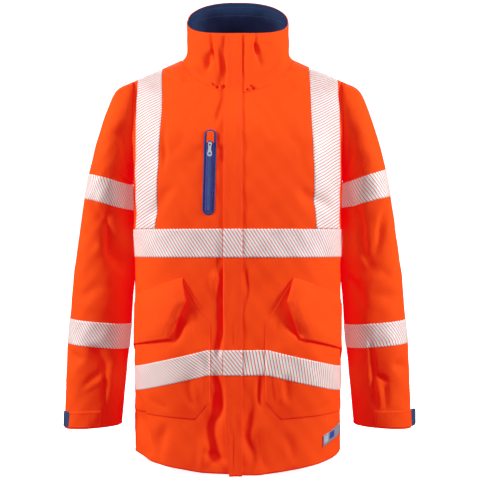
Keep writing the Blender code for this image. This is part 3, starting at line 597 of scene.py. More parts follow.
def flap_point(across, level, z, lift):
    """On the collar while level is set, and on the fronts below it."""
    stand = 0.0012 * clamp((FLAP_SEAM - across) / 0.03) ** 2
    if level is not None:
        narrow = across * (1.0 - (0.22 if across < 0 else 0.12) * min(1.0, level * 5))
        push = 0.9 * crease_push(((-0.006, 0.1, -0.006, 0.0, 0.006, 0.0012),), across, level * COLLAR_TALL)
        return collar_point(narrow, False, level, lift + stand + push, 0.0)
    push = crease_push(FLAP_CREASES, across, z)
    drawn = across + straight(FLAP_DRAW_IN, z) * (FLAP_SEAM - across) / (FLAP_SEAM - FLAP_EDGE)
    return torso(drawn, z, lift + stand + push, False, 0.4)


def flap_foot(across):
    return mix(FLAP_FOOT_RIGHT, FLAP_FOOT_LEFT, (FLAP_SEAM - across) / (FLAP_SEAM - FLAP_EDGE))


flap_columns = spread([FLAP_EDGE, FRONT_MEET, FLAP_SEAM], 0.0029)
rows = [[flap_point(a, level, 0.0, FLAP_LIFT) for a in flap_columns]
        for level in spread([0.975, 0.065], 0.035)]
rows += [[flap_point(a, None, mix(top_z(a, False), flap_foot(a), share), FLAP_LIFT) for a in flap_columns]
         for share in steps(150)]
shell_piece("storm_flap", rows, FLAP_WALL, ["front_right_cloth", "front_left_cloth"])

# ==== Sleeves ============================================================
# Two-piece sleeves of the shell cloth, set into upright armhole seams.  They
# hang almost straight and fold at the elbow and above the cuff.
# in mm: outer x, outer z, inner x, inner z, half depth, centre y
SLEEVE_RINGS = metres((
    (198.5, -45.5, 198.5, -234, 61, 0), (216.5, -53, 201.5, -236.2, 68, 0),
    (231.5, -63, 202.2, -238.2, 74, 1), (244, -85, 202.6, -240, 78, 1), (257, -120, 202.9, -241.2, 80, 2),
    (270, -162, 203.2, -242.2, 81, 2), (284.8, -219.5, 203.6, -243.2, 81, 2),
    (294, -271.5, 204, -294, 80, 3), (299.5, -308, 204.3, -330, 79, 3), (305, -348, 204.6, -368, 78, 3),
    (310.5, -390, 204.9, -407, 77, 2), (315.5, -430, 205.2, -444, 76, 0),
    (320.5, -498.5, 205.8, -509, 74, -3), (325, -545.5, 208.5, -555.5, 71, -6),
    (326.2, -570, 210.8, -578, 69, -8), (327.5, -604, 213.5, -610, 66, -10),
    (328.5, -638, 216.5, -642, 63, -12), (329.8, -669, 218.5, -669, 60, -14),
    (330.6, -699.5, 220.8, -693.5, 58, -15), (330.8, -706.5, 221.2, -699.5, 58, -15),
))
RING_TABLE = [(float(i), *ring) for i, ring in enumerate(SLEEVE_RINGS)]
SLEEVE_BOX = 2.2
# in mm: height, how far the inner edge leans in against the body
SLEEVE_LEAN = metres((
    (-560, 0), (-523, 1), (-496, 2.1), (-458, 4.2), (-438, 6), (-425, 7), (-360, 6.2), (-280, 4.4),
    (-252, 3.2), (-238, 0),
))
ARC = 0.00105            # metres of cloth for each degree of turn
# turn from the outer edge towards the front, height, half-turn, half-height, push right, push left
SLEEVE_SWELLS = (
    (46, -0.33, 16, 0.09, 0.0034, 0.0024), (132, -0.365, 34, 0.09, -0.005, -0.004),
    (118, -0.19, 30, 0.06, -0.005, -0.004), (100, -0.59, 26, 0.03, -0.005, -0.005),
    (60, -0.61, 24, 0.026, 0.003, 0.003), (250, -0.4, 40, 0.03, -0.0045, -0.0045),
    (290, -0.6, 34, 0.03, -0.0035, -0.0035),
)
# creases: from turn in degrees, height in mm, to turn, height, half-width, push
SLEEVE_CREASES = {
    "right": (
        (113, -600, 114, -662, 3, -3.4), (122, -600, 121, -660, 6, 2), (78, -634, 110, -607, 3, 1.6),
        (74, -624, 104, -598, 4, -1.4), (88, -548, 112, -596, 11, -4), (54, -275, 164, -415, 20, -7.2),
        (36, -330, 84, -360, 11, -2.2), (40, -455, 112, -440, 11, -1.4), (48, -470, 96, -476, 10, 1),
        (70, -130, 128, -190, 11, -2.6), (40, -560, 70, -575, 8, -2.2),
    ),
    "left": (
        (140, -278, 103, -390, 10, -4.6), (44, -282, 96, -380, 8.5, -3.8),
        (106, -546, 107, -608, 4, -3.8), (113, -546, 113, -612, 4.5, 2.8),
        (107, -606, 106, -660, 3, -3.6), (99, -604, 84, -616, 4, -3), (88, -620, 87, -662, 5, -2.6),
        (96, -622, 96, -660, 5, 2.2), (150, -120, 142, -200, 11, -4), (40, -450, 104, -462, 11, -1.2),
        (60, -420, 120, -404, 11, -1.6), (120, -470, 150, -420, 10, -3), (36, -590, 66, -580, 8, -2.2),
    ),
}
# and those at the rear, the same on both sleeves
HIDDEN_SLEEVE_CREASES = (
    (215, -300, 285, -340, 12, -3.6), (225, -425, 300, -405, 10, -4.2), (240, -460, 320, -450, 9, -3.4),
    (250, -560, 300, -600, 9, -3), (262, -610, 264, -665, 6, -3), (232, -180, 262, -235, 12, -3),
    (285, -630, 325, -612, 8, -2),
)
# turn where the front starts to slope in towards the body, how far it sinks
SLEEVE_TURN_IN = {1: (62.0, 0.005), -1: (56.0, 0.008)}
SINK_HEIGHT, SINK_REACH, SINK_END = -0.365, 0.105, 168     # where it sinks, and the turn at its end


def sleeve_base(side, t, turn):
    """Smooth form of the sleeve; t counts the rings and turn is 0 at the outer edge."""
    outer_x, outer_z, inner_x, inner_z, deep, centre_y = (eased(RING_TABLE, t, c) for c in range(1, 7))
    power = 2 / SLEEVE_BOX
    wave, swing = math.cos(turn), math.sin(turn)
    along = math.copysign(abs(wave) ** power, wave)
    across = math.copysign(abs(swing) ** power, swing)
    x = (outer_x + inner_x) / 2 + (outer_x - inner_x) / 2 * along
    z = (outer_z + inner_z) / 2 + (outer_z - inner_z) / 2 * along
    y = centre_y - deep * across
    if t < 1.0:
        seam = (ARMHOLE_FRONT if swing > 0 else ARMHOLE_BACK) * swing + math.copysign(SEAM, swing)
        away = t * t * (3 - 2 * t)
        x = mix(ARM_X + 2 * SEAM, x, t)
        z = mix((SHOULDER_TIP_Z + UNDERARM_Z) / 2 + (SHOULDER_TIP_Z - UNDERARM_Z) / 2 * wave, z, away)
        y = mix(-seam, y, away)
    return Vector((side * x, y, z))


def sleeve(side, t, turn, lift=0.0, folds=1.0):
    """Point of a sleeve with its folds, moved out by lift."""
    point = sleeve_base(side, t, turn)
    low, high = max(t - 0.1, 0.0), min(t + 0.1, len(SLEEVE_RINGS) - 1.0)
    fall = sleeve_base(side, high, turn) - sleeve_base(side, low, turn)
    along = sleeve_base(side, t, turn + 0.05) - sleeve_base(side, t, turn - 0.05)
    normal = (along.cross(fall) * side).normalized()
    degrees = math.degrees(turn) % 360
    push = 0.0
    for at, height, reach, length, right, left in SLEEVE_SWELLS:
        off = (degrees - at + 180) % 360 - 180
        push += ((left if side > 0 else right) / FOLD_GAIN
                 * bump(off, reach) * bump(point.z - height, length))
    creases = SLEEVE_ARCS["left" if side > 0 else "right"]
    push += crease_push(creases, degrees * ARC, point.z)
    if degrees < 40:
        push += crease_push(creases, (degrees + 360) * ARC, point.z)
    start, sink = SLEEVE_TURN_IN[side]
    sink *= bump(point.z - SINK_HEIGHT, SINK_REACH) / (1 + math.exp((start - degrees) / 9))
    push -= sink / (1 + math.exp((degrees - SINK_END) / 6)) / FOLD_GAIN
    push += ripple(degrees * ARC * math.copysign(1, side), point.z, 11.0 + side) * 1.1
    point.x -= side * straight(SLEEVE_LEAN, point.z) * bump(degrees - 180, 50.0)
    quiet = clamp(t / 1.5) * (1.0 - bump(degrees - 180, 18.0))
    quiet *= 1.0 - 0.75 * bump((degrees + 180) % 360 - 180, 24.0)
    return point + normal * (lift + FOLD_GAIN * folds * quiet * push)


# all of these in metres, with turns as lengths of cloth
SLEEVE_ARCS = {name: [(a0 * ARC, z0 / 1000, a1 * ARC, z1 / 1000, reach / 1000, push / 1000)
                      for a0, z0, a1, z1, reach, push in creases + HIDDEN_SLEEVE_CREASES]
               for name, creases in SLEEVE_CREASES.items()}
SLEEVE_SIDES = 84
ring_counts = (4, 4, 5, 7, 8, 10, 10, 8, 8, 8, 8, 12, 10, 6, 7, 7, 7, 6, 2)
sleeve_levels = [i + j / n for i, n in enumerate(ring_counts) for j in range(n)] + [float(len(ring_counts))]
for side, name in SIDES:
    turns = [(-side * i * 2 * math.pi / SLEEVE_SIDES) % (2 * math.pi) for i in range(SLEEVE_SIDES)]
    shell_piece(f"sleeve_{name}", [[sleeve(side, t, turn) for turn in turns] for t in sleeve_levels], WALL,
                closed=True, outward=False, held="hung")

# ==== Reflective tape ====================================================
# Silver glass-bead film, cut into slanting segments and heat-pressed onto the
# shell: one band round the chest, one above the hem, a brace over each
# shoulder and two bands round each sleeve.  Orange shows between segments.
TAPE_WALL, TAPE_LIFT = 0.0004, 0.0004
TAPE_PITCH, TAPE_FILM = 0.0062, 0.69
SILVER, SILVER_WORN = (0.53, 0.61, 0.62), (0.45, 0.52, 0.53)
PAINTED_TAPE_GLOW = (0.33, 0.46, 0.44)       # painted glow of the film: emission that stands in for the lamp light its glass beads send back
PAINTED_CREST_SHADE = (0.1, 0.2, 0.19)        # a dimmer painted glow on the shoulder's crest, which paints shade there
CREST_START, CREST_END = 0.045, 0.08    # how far down from the neck point the crest reaches


def segmented_tape(name, lean_across, lean_down, pitch=TAPE_PITCH, crest=False):
    """Film in segments that lean as the two shares of across and down say."""
    tape = Finish(name, SILVER, 0.4)
    run = tape.measure("across") * (lean_across / pitch) + tape.measure("down") * (lean_down / pitch)
    film = (run % 1.0 - 0.5).size().ramp(TAPE_FILM / 2 + 0.02, TAPE_FILM / 2 - 0.02)
    wear = tape.noise(38.0, 4.0).ramp(0.4, 0.75) * 0.6 + tape.noise(500.0, 2.0) * 0.3
    tape.colour(film, ORANGE, tape.tint(wear, SILVER, SILVER_WORN))
    # painted light: the film glows as if it sent lamp light back, less on the brace's crest (painted
    # shade), and the gaps glow red as the cloth does
    painted_light = PAINTED_TAPE_GLOW
    if crest:
        painted_light = tape.tint(tape.measure("down").ramp(CREST_START, CREST_END), PAINTED_CREST_SHADE, PAINTED_TAPE_GLOW)
    tape.glow(tape.tint(film, PAINTED_RED_GLOW, painted_light), PAINTED_GLOW)
    tape.set("Roughness", wear * 0.2 + 0.46)
    tape.relief(film * 0.5 + tape.noise(90.0, 4.0) * 2.2 + tape.noise(900.0, 1.0) * 0.3, 0.0003, 0.6)
    return tape


def tape_strip(name, rows, finish, node, rests, measures=None):
    cloth_piece(name, rows, finish, TAPE_WALL, node, "reflective_tape", [rests], measures=measures)


slant = segmented_tape("tape_chest", 1.0, -0.64)
steep = segmented_tape("tape_flap", 1.0, -0.8, 0.0069)
slope = segmented_tape("tape_hem_right", 1.0, -1.054)
upright = segmented_tape("tape_hem_left", 1.0, -0.19, 0.0059)
across_brace = segmented_tape("tape_brace", 0.6, 1.0, 0.006, crest=True)
BAND_ROWS, BRACE_ROWS, ROUND_ROWS, ROUND_STEPS = 17, 92, 16, 96
SLEEVE_JOIN = 179.6      # degrees from the outer edge to where a sleeve's band meets itself

# part, its upper and lower edge counted in rings down the sleeve
SLEEVE_BANDS = {"right": (("upper", 6.07, 6.98), ("lower", 12.0, 13.0)),
                "left": (("upper", 5.92, 6.88), ("lower", 12.03, 12.97))}
# share down the brace, across at its inner edge
BRACE_LEAN = {"right": ((0.0, 0.1435), (0.3, 0.14), (1.0, 0.1505)),
              "left": ((0.0, 0.1345), (0.3, 0.1355), (1.0, 0.1425))}


def band(columns, top, tall, place):
    return [[place(a, top(a) - tall * r / BAND_ROWS) for a in columns] for r in range(BAND_ROWS + 1)]


gap, POCKET_FRONT = 0.0002, 0.05
ALL_BACK = (-EDGE, 0.0, EDGE)
# band, part, stops across, finish
BANDS = (
    ("chest", "right", (-EDGE, -BRACE_OUT, FLAP_EDGE - gap), slant),
    ("chest", "left", (FLAP_SEAM + gap, BRACE_OUT, EDGE), slant),
    ("chest", "back", ALL_BACK, slant),
    ("hem", "right", (gap - POCKET_FRONT, FLAP_EDGE - gap), steep),
    ("hem", "left", (FLAP_SEAM + gap, POCKET_FRONT - gap), upright),
    ("hem", "back", ALL_BACK, slope),
    ("chest", "flap", None, slant),
    ("hem", "flap", None, steep),
)
UNDER_BAND = {"right": "front_right_cloth", "left": "front_left_cloth", "back": "back_cloth",
              "flap": "storm_flap_cloth"}
for name, part, stops, finish in BANDS:
    back = part == "back"
    columns = spread(stops, STEP)[::-1 if back else 1] if stops else flap_columns

    def place(a, z):
        if stops:
            return torso(a, z, TAPE_LIFT, back)
        return flap_point(a, None, z, FLAP_LIFT + FLAP_WALL + TAPE_LIFT)

    if name == "chest":
        rows = band(columns, lambda a: CHEST_TAPE[0], CHEST_TAPE[0] - CHEST_TAPE[1], place)
    else:
        rows = band(columns, lambda a: hem_tape_top(a, back), HEM_TAPE_WIDTH, place)
    tape_strip(f"{name}_band_{part}", rows, finish, f"{name}_tape_{part}", UNDER_BAND[part])
for side, name in SIDES:
    for part, back in (("front", False), ("back", True)):
        columns = sorted((side * c for c in steps(16)), reverse=back)
        end = CHEST_TAPE[0] + 2 * gap
        rows, reach_a = [], []
        for down in steps(BRACE_ROWS):
            row = []
            for column in columns:
                inner = BRACE_IN if back else straight(BRACE_LEAN[name], down)
                a = math.copysign(mix(inner, BRACE_OUT, abs(column)), side)
                row.append(torso(a, mix(top_z(a, back), end, down), TAPE_LIFT, back))
                reach_a.append(-row[-1].x if back else row[-1].x)
            rows.append(row)
        runs = [[-point.z for point in rows[-1]]]
        for lower, upper in zip(rows[:0:-1], rows[-2::-1]):
            runs.append([run - (p - q).length for run, p, q in zip(runs[-1], lower, upper)])
        reach_d = [run for line in reversed(runs) for run in line]
        tape_strip(f"brace_{part}_{name}", rows, across_brace, f"brace_tape_{part}_{name}",
                   "back_cloth" if back else f"front_{name}_cloth", {"across": reach_a, "down": reach_d})
    for part, top, bottom in SLEEVE_BANDS[name]:
        turns = [side * math.radians(SLEEVE_JOIN - 2 * SLEEVE_JOIN * i / ROUND_STEPS)
                 for i in range(ROUND_STEPS + 1)]
        rows = [[sleeve(side, mix(top, bottom, down), turn, TAPE_LIFT) for turn in turns]
                for down in steps(ROUND_ROWS)]
        tape_strip(f"sleeve_band_{part}_{name}", rows, slant,
                   f"sleeve_tape_{part}_{name}", f"sleeve_{name}_cloth")

# ==== Lower pockets ======================================================
# A bellows bag of shell cloth on each front, its inner corners cut off, with a
# stiff pointed flap that stands clear of it.  The hem's reflective tape runs on
# over the bag.
POCKET_SIDE, POCKET_BULGE, POCKET_LIFT, POCKET_RUN_OFF = 0.2205, 0.011, 0.0003, 0.01
BAG_WALL, BELLY_SIDE = 0.0006, 0.19
POCKET_TOP = ((0.0, -0.503), (POCKET_FRONT, -0.503), (0.1015, -0.419), (BRACE_OUT, -0.464),
              (EDGE, -0.476))
POCKET_BOTTOM = ((0.0, -0.64), (POCKET_FRONT, -0.64), (0.078, -0.6735), (EDGE, -0.668))
FLAP_OUT, POCKET_FLAP_WALL, FLAP_ROWS, FLAP_STEPS = 0.2385, 0.0014, 36, 46
# share down the flap, across at its inner edge, height there, height at its outer edge
POCKET_FLAP = ((0.0, 0.1006, -0.419, -0.477), (0.36, 0.0887, -0.46, -0.504), (1.0, 0.1162, -0.529, -0.551))
# how far each side's inner edge shifts, at its top and foot, and how far its outer foot drops
FLAP_SKEW = {1: (0.0008, -0.007, 0.024), -1: (-0.0006, 0.001, 0.008)}
# creases in mm: from across, height, to across, height, half-width, push
BAG_CREASES = {
    "right": metres((
        (-93.5, -430, -86, -466, 8.5, -4), (-86, -462, -112, -530, 7.5, -8.5),
        (-75, -470, -96, -535, 14, -2.6), (-64, -560, -56, -640, 9, -5), (-88, -596, -74, -650, 8, -3.6),
        (-76, -600, -66, -655, 7, 2), (-70, -500, -64, -542, 8, -2.6), (-125, -655, -160, -640, 7, -2),
        (-190, -600, -196, -660, 8, -3), (-116, -540, -100, -560, 10, 1.4),
    )),
    "left": metres((
        (93.5, -430, 85, -466, 8.5, -4), (85, -462, 112, -530, 7.5, -8.5), (75, -470, 96, -535, 14, -2.4),
        (62, -598, 64, -640, 6, -4), (86, -596, 92, -640, 7.5, -4), (74, -600, 76, -645, 6, 2),
        (68, -500, 80, -540, 8, -2.4), (135, -660, 175, -650, 7, -1.8), (193, -598, 199, -655, 8, -2.8),
        (120, -545, 140, -560, 10, 1.4),
    )),
}
# share down the flap, how far its inner edge curls off the bag
FLAP_CURL = ((0.0, 0.001), (0.12, 0.005), (0.36, 0.011), (0.7, 0.0085), (1.0, 0.0012))
# in mm: across, height, half-length across, half-length down, push
FLAP_SWELLS = metres((
    (135, -470, 20, 20, 1.2), (175, -500, 20, 20, -1.2), (150, -520, 18, 14, 1.4), (205, -520, 14, 20, 1),
))


def pocket_lift(across, z):
    """How far the pocket bag stands off the front."""
    side = "left" if across > 0 else "right"
    push = crease_push(BAG_CREASES[side], across, z)
    across = abs(across)
    top, bottom = straight(POCKET_TOP, across), straight(POCKET_BOTTOM, across)
    down = clamp((top - z) / (top - bottom))
    over = clamp((across - POCKET_FRONT) / (BELLY_SIDE - POCKET_FRONT))
    belly = math.sin(math.pi * down ** 1.15) * math.sin(math.pi * over ** 0.85) ** 0.7
    edge = clamp(4 * math.sin(math.pi * down) * math.sin(math.pi * over))
    return POCKET_LIFT + POCKET_BULGE * belly + max(edge * push, -0.85 * POCKET_BULGE * belly)


def over_pocket(across, z, clear, clear_past):
    """Lift of what lies on a bag and runs on past its side to the front."""
    on_bag = pocket_lift(across, z) + BAG_WALL + clear
    past = clamp((abs(across) - POCKET_SIDE) / POCKET_RUN_OFF)
    return mix(on_bag, clear_past, past)


def pocket_flap_point(side, down, share, lift=0.0):
    """Point of a pocket flap, which bows a little, curls up at its inner edge and is tight at its top."""
    inner, inner_z, outer_z = (straight(POCKET_FLAP, down, column) for column in (1, 2, 3))
    top_shift, foot_shift, foot_drop = FLAP_SKEW[side]
    inner += mix(top_shift, foot_shift, down ** 0.5)
    across = mix(inner, FLAP_OUT, share)
    z = mix(inner_z, outer_z, share ** 1.2) - foot_drop * down * share ** 1.5
    stand = 0.0024 * down * math.sin(math.pi * min(0.25 + 0.9 * share, 1.0))
    stand += straight(FLAP_CURL, down) * (0.35 * bump(share, 0.26) + 0.7 * bump(share, 0.5) * (1 - share))
    stand += mix(-0.0009, 0.002 * (1 - share ** 2), clamp(down / 0.2))
    stand += swell_push(FLAP_SWELLS, across, z) * (0.7 if side > 0 else 1.0)
    return torso(side * across, z, over_pocket(side * across, z, stand, 0.001) + lift, False, 0.5)


for side, name in SIDES:
    columns = sorted(side * c for c in spread([POCKET_FRONT, 0.078, 0.1015, BRACE_OUT, POCKET_SIDE], STEP))
    rows = []
    for share in steps(80):
        heights = [mix(straight(POCKET_TOP, abs(a)), straight(POCKET_BOTTOM, abs(a)), share)
                   for a in columns]
        rows.append([torso(a, z, pocket_lift(a, z)) for a, z in zip(columns, heights)])
    shell_piece(f"pocket_bag_{name}", rows, BAG_WALL, [f"front_{name}_cloth"])
    bag = [f"pocket_bag_{name}_cloth"]
    columns = spread([POCKET_FRONT, POCKET_SIDE, POCKET_SIDE + POCKET_RUN_OFF, EDGE], STEP)
    rows = band(sorted(side * c for c in columns), hem_tape_top, HEM_TAPE_WIDTH,
                lambda a, z: torso(a, z, over_pocket(a, z, TAPE_LIFT, TAPE_LIFT)))
    tape_strip(f"hem_band_pocket_{name}", rows, upright if side > 0 else slope,
               f"hem_tape_pocket_{name}", *bag)
    rows = [[pocket_flap_point(side, down, share) for share in steps(FLAP_STEPS)[::side]]
            for down in steps(FLAP_ROWS)]
    shell_piece(f"pocket_flap_{name}", rows, POCKET_FLAP_WALL, bag)

# ==== Chest pocket zip ===================================================
# An upright slot in the wearer's right front, edged with a rolled blue welt.
# Behind it lie the navy tapes of a coil zip; a tab of shell cloth covers its top
# end.  The cast slider carries a teardrop pull.
WELT_TOP, WELT_BOTTOM = (-0.049, -0.1495), (-0.0528, -0.3055)
WELT_WIDTH, WELT_RIM, WELT_WALL = 0.0226, 0.0044, 0.001
ZIP_LIFT, ZIP_TAPE_WALL, COIL_RADIUS = 0.0014, 0.0008, 0.0028
SLIDER_DROP, SLIDER_LONG, PULL_THICK = 0.0262, 0.0092, 0.0016
WELT_LENGTH = math.dist(WELT_TOP, WELT_BOTTOM)
ZIP_ROWS, GARAGE_ROWS, ZIP_STEPS = 60, 14, 10

blue_finish = Finish("blue_trim", (0.01, 0.06, 0.21), 0.8, Specular_IOR_Level=0.05)
blue_finish.colour(blue_finish.noise(160.0), (0.008, 0.05, 0.17), (0.014, 0.075, 0.26))
blue_finish.relief(blue_finish.noise(1500.0, 1.0), 0.0003, 0.6)
zip_tape_finish = Finish("zip_tape", (0.022, 0.024, 0.13), 0.75)
ribs = (zip_tape_finish.measure("across") * 4200.0).sine()
zip_tape_finish.colour(ribs * 0.5 + 0.5, (0.022, 0.026, 0.2), (0.036, 0.05, 0.33))
zip_tape_finish.relief(ribs + (zip_tape_finish.measure("down") * 5200.0).sine(), 0.00015, 0.7)
coil_finish = Finish("zip_coil", (0.034, 0.125, 0.22), 0.45)
slider_finish = Finish("zip_slider", (0.075, 0.115, 0.215), 0.32, 0.75)
pull_finish = Finish("zip_pull_grip", (0.52, 0.56, 0.62), 0.38, 0.25)
pull_finish.set("Roughness", pull_finish.noise(600.0) * 0.2 + 0.28)


def welt_place(along, out, lift):
    """Point on the chest, along the zip from its top end and out sideways."""
    start, end = Vector(WELT_TOP), Vector(WELT_BOTTOM)
    direction = (end - start).normalized()
    spot = start + direction * along + Vector((-direction.y, direction.x)) * out
    return torso(spot.x, spot.y, lift, False, 0.0)


STADIUM_STRAIGHT, STADIUM_ROUND = 46, 12     # steps along each side and round each end


def stadium(length, width, inset):
    """Outline of a slot with round ends, as (along, out) pairs."""
    radius, outline = width / 2 - inset, []
    for start, end, way in ((width / 2, length - width / 2, 1), (length - width / 2, width / 2, -1)):
        outline += [(mix(start, end, i / STADIUM_STRAIGHT), way * radius) for i in range(STADIUM_STRAIGHT)]
        turns = [math.pi * i / STADIUM_ROUND for i in range(STADIUM_ROUND)]
        outline += [(end + way * radius * math.sin(turn), way * radius * math.cos(turn)) for turn in turns]
    return outline


def hard_piece(name, shape, finish, body="jacket"):
    """A joined mesh of hard or small parts that rides on one body."""
    piece = add_mesh(name, *shape, finish)
    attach(piece, body)
    return piece


def loft(rings, ends=True):
    """Vertices and faces of a skin through rings of equal count."""
    count, total = len(rings[0]), len(rings) * len(rings[0])
    faces = grid_faces(len(rings), count, True)
    if ends:
        faces += [tuple(range(count)), tuple(range(total - 1, total - count - 1, -1))]
    return [point for ring in rings for point in ring], faces


# share across the rim from outside to inside, height above the cloth
WELT_PROFILE = ((0.0, 0.001), (0.04, 0.0016), (0.22, 0.0019), (0.45, 0.002), (0.7, 0.0019),
                (0.94, 0.0016), (1.0, 0.001))
rows = [[welt_place(a, o, height) for a, o in stadium(WELT_LENGTH, WELT_WIDTH, WELT_RIM * share)]
        for share, height in WELT_PROFILE]
on_front = ["front_right_cloth"]
cloth_piece("chest_welt", rows, blue_finish, WELT_WALL, "chest_pocket_welt", "blue_trim", on_front,
            True, False, "folded")
half_slot = WELT_WIDTH / 2 - WELT_RIM - 0.0002
slot_ends = (WELT_WIDTH / 2 - 0.001, WELT_LENGTH - WELT_RIM - 0.0008)
slot_foot = WELT_LENGTH - WELT_WIDTH / 2
rows = []
for down in steps(ZIP_ROWS):
    along = mix(*slot_ends, down)
    half = math.sqrt(half_slot ** 2 - max(along - slot_foot, 0.0) ** 2)
    rows.append([welt_place(along, mix(half, -half, share), ZIP_LIFT) for share in steps(ZIP_STEPS)])
cloth_piece("chest_zip_tapes", rows, zip_tape_finish, ZIP_TAPE_WALL, "chest_zip_tape", "blue_trim",
            on_front)
rows = []
for i in range(GARAGE_ROWS + 1):
    along = mix(0.0035, SLIDER_DROP - 0.0015, i / GARAGE_ROWS)
    narrow = math.sqrt(clamp(0.45 + i / 5))
    rows.append([welt_place(along, mix(half_slot, -half_slot, share) * narrow, ZIP_LIFT + 0.001)
                 for share in steps(ZIP_STEPS)])
cloth_piece("chest_zip_garage", rows, shell_finish, ZIP_TAPE_WALL, None, "orange_shell",
            ["chest_zip_tapes"])


def merged(parts):
    vertices, faces = [], []
    for some, their_faces in parts:
        start = len(vertices)
        vertices += some
        faces += [tuple(start + i for i in face) for face in their_faces]
    return vertices, faces


def circle(count, radius=1.0):
    turns = [2 * math.pi * i / count for i in range(count)]
    return [(radius * math.cos(turn), radius * math.sin(turn)) for turn in turns]


def bead(centre, long_axis, wide_axis, high_axis, sides=6, rings=4):
    """A small closed ellipsoid; the three axes are vectors as long as its half sizes."""
    turns = [math.pi * (r + 0.35) / (rings + 0.7) for r in range(rings + 1)]
    return loft([[centre - long_axis * math.cos(turn) + (wide_axis * x + high_axis * y) * math.sin(turn)
                  for x, y in circle(sides)] for turn in turns])


def zip_axes(along, lift):
    """Place on the zip with its directions to the right, down and out of the cloth."""
    here = welt_place(along, 0.0, lift)
    down = (welt_place(along + 0.01, 0.0, lift) - welt_place(along - 0.01, 0.0, lift)).normalized()
    out = (welt_place(along, 0.0, lift + 0.01) - here).normalized()
    return here, out.cross(down).normalized(), down, out


TOOTH_PITCH = 0.0013
teeth, along, turn = [], SLIDER_DROP + SLIDER_LONG / 2 - 0.001, 1
coil_lift = ZIP_LIFT + ZIP_TAPE_WALL + COIL_RADIUS * 0.75
while along < slot_ends[1] - 0.003:
    here, right, down, out = zip_axes(along, coil_lift)
    lean = (right + down * 0.16 * turn).normalized()
    teeth.append(bead(here + right * 0.0006 * turn, lean * 0.0018, down * TOOTH_PITCH * 0.48, out * 0.0015))
    along, turn = along + TOOTH_PITCH, -turn
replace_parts(hard_piece("chest_zip_teeth", merged(teeth), coil_finish), "chest_zip_coil")

# outline of the slider's plates in mm: down from its middle, half-width
SLIDER_OUTLINE = metres((
    (-4.6, 1.6), (-4, 2.9), (-2.4, 3.8), (0, 3.9), (2.6, 3.4), (4.2, 2.8), (4.6, 1.8),
))
# outline of the pull in mm: down from its hinge, half-width
PULL_OUTLINE = metres((
    (-0.8, 1.3), (0.2, 2.4), (2.2, 3.1), (4.6, 3.2), (8, 2.7), (12, 2.5), (15.5, 2.9), (18.5, 4), (21, 4.4),
    (23.2, 4.1), (24.8, 3), (25.6, 1.4),
))
PULL_EYE_DOWN, PULL_EYE_HALF, PULL_DIMPLE_DOWN = 0.0046, 0.0016, 0.0206


def both_sides(outline):
    return [(half, down) for down, half in outline] + [(-half, down) for down, half in outline[::-1]]


def plate(axes, outline, layers, shift=(0.0, 0.0)):
    """A plate with eased edges: layers hold the scale of the outline and the height."""
    here, right, down, out = axes
    return loft([[here + right * (x * scale + shift[0]) + down * (y * scale + shift[1]) + out * height
                  for x, y in outline] for scale, height in layers])


axes = zip_axes(SLIDER_DROP, ZIP_LIFT + ZIP_TAPE_WALL + 0.0002)
here, right, down, out = axes
hinge_height = 2 * COIL_RADIUS + 0.0021
shape = both_sides(SLIDER_OUTLINE)
parts = [plate(axes, shape, ((0.9, 0.0), (1.0, 0.0005), (1.0, 0.0016), (0.9, 0.002))),
         plate(axes, shape, ((0.88, 0.004), (0.98, 0.0044), (0.96, 0.0056), (0.8, 0.0061))),
         bead(here + down * -0.0022 + out * 0.003, down * 0.0016, right * 0.0015, out * 0.0016)]
for way in (1, -1):
    lug = here + right * 0.0038 * way
    parts.append(bead(lug + out * 0.0066, out * (hinge_height - 0.0054), right * 0.0006,
                      down * 0.0012, 8, 6))
parts.append(bead(here + out * hinge_height, right * 0.0042, down * 0.00055, out * 0.00055, 8, 6))
slider = hard_piece("chest_zip_slider_body", merged(parts), slider_finish)
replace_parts(slider, "chest_zip_slider")

loop = both_sides(PULL_OUTLINE)
eye = []
for x, y in loop:
    turn = math.atan2(x, PULL_EYE_DOWN - y)
    eye.append((PULL_EYE_HALF * math.sin(turn), PULL_EYE_DOWN - 1.2 * PULL_EYE_HALF * math.cos(turn)))
layers = ((loop, 0.0), (loop, PULL_THICK), (eye, PULL_THICK), (eye, 0.0), (loop, 0.0))
base = here + out * (hinge_height - PULL_THICK / 2)
grip = loft([[base + right * x + down * y + out * height for x, y in outline]
             for outline, height in layers], False)
pull = hard_piece("zip_pull_grip", grip, pull_finish, "zip_pull")
pull.data.shade_flat()
pull.modifiers.new("weld", "WELD").merge_threshold = 0.00002
edge = pull.modifiers.new("edges", "BEVEL")
edge.width, edge.segments, edge.limit_method = 0.00035, 2, "ANGLE"
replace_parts(pull, "chest_zip_pull")
# the button in the pull's foot: share of its radius, height over the pull's face
BUTTON = ((1.0, -0.0002), (1.0, 0.0003), (0.75, 0.0004), (0.6, 0.0001))
button = plate((base, right, down, out), circle(20, 0.0021)[::-1],
               [(scale, PULL_THICK + height) for scale, height in BUTTON], (0.0, PULL_DIMPLE_DOWN))
hard_piece("zip_pull_button", button, slider_finish, "zip_pull")

# ==== Cuff tabs ==========================================================
# Hook-and-loop tabs that draw each cuff in: two layers of shell cloth sewn to
# the sleeve's front, with a moulded navy grip at the rounded free end.
TAB_WALL, TAB_TOP, TAB_BOTTOM, TAB_ROWS = 0.0018, 17.0, 18.3, 12      # ends counted in sleeve rings
TAB_DROP = {1: 0.05, -1: 0.14}           # how much lower the top edge lies at the free end
tip_finish = Finish("navy_grip", (0.024, 0.046, 0.12), 0.48)
tip_finish.relief(tip_finish.noise(700.0, 2.0), 0.0003, 0.7)
# for the wearer's left (1) and right (-1): turn in degrees, how far the tab stands off there
TAB_STANDS = {
    1: ((-10, 0.012), (-3, 0.0094), (5, 0.006), (18, 0.0024), (36, 0.0009), (54, 0.0003), (72, 0),
        (108, 0)),
    -1: ((-6, 0.0032), (0, 0.0026), (18, 0.0016), (36, 0.0008), (54, 0.0002), (72, 0), (108, 0)),
}
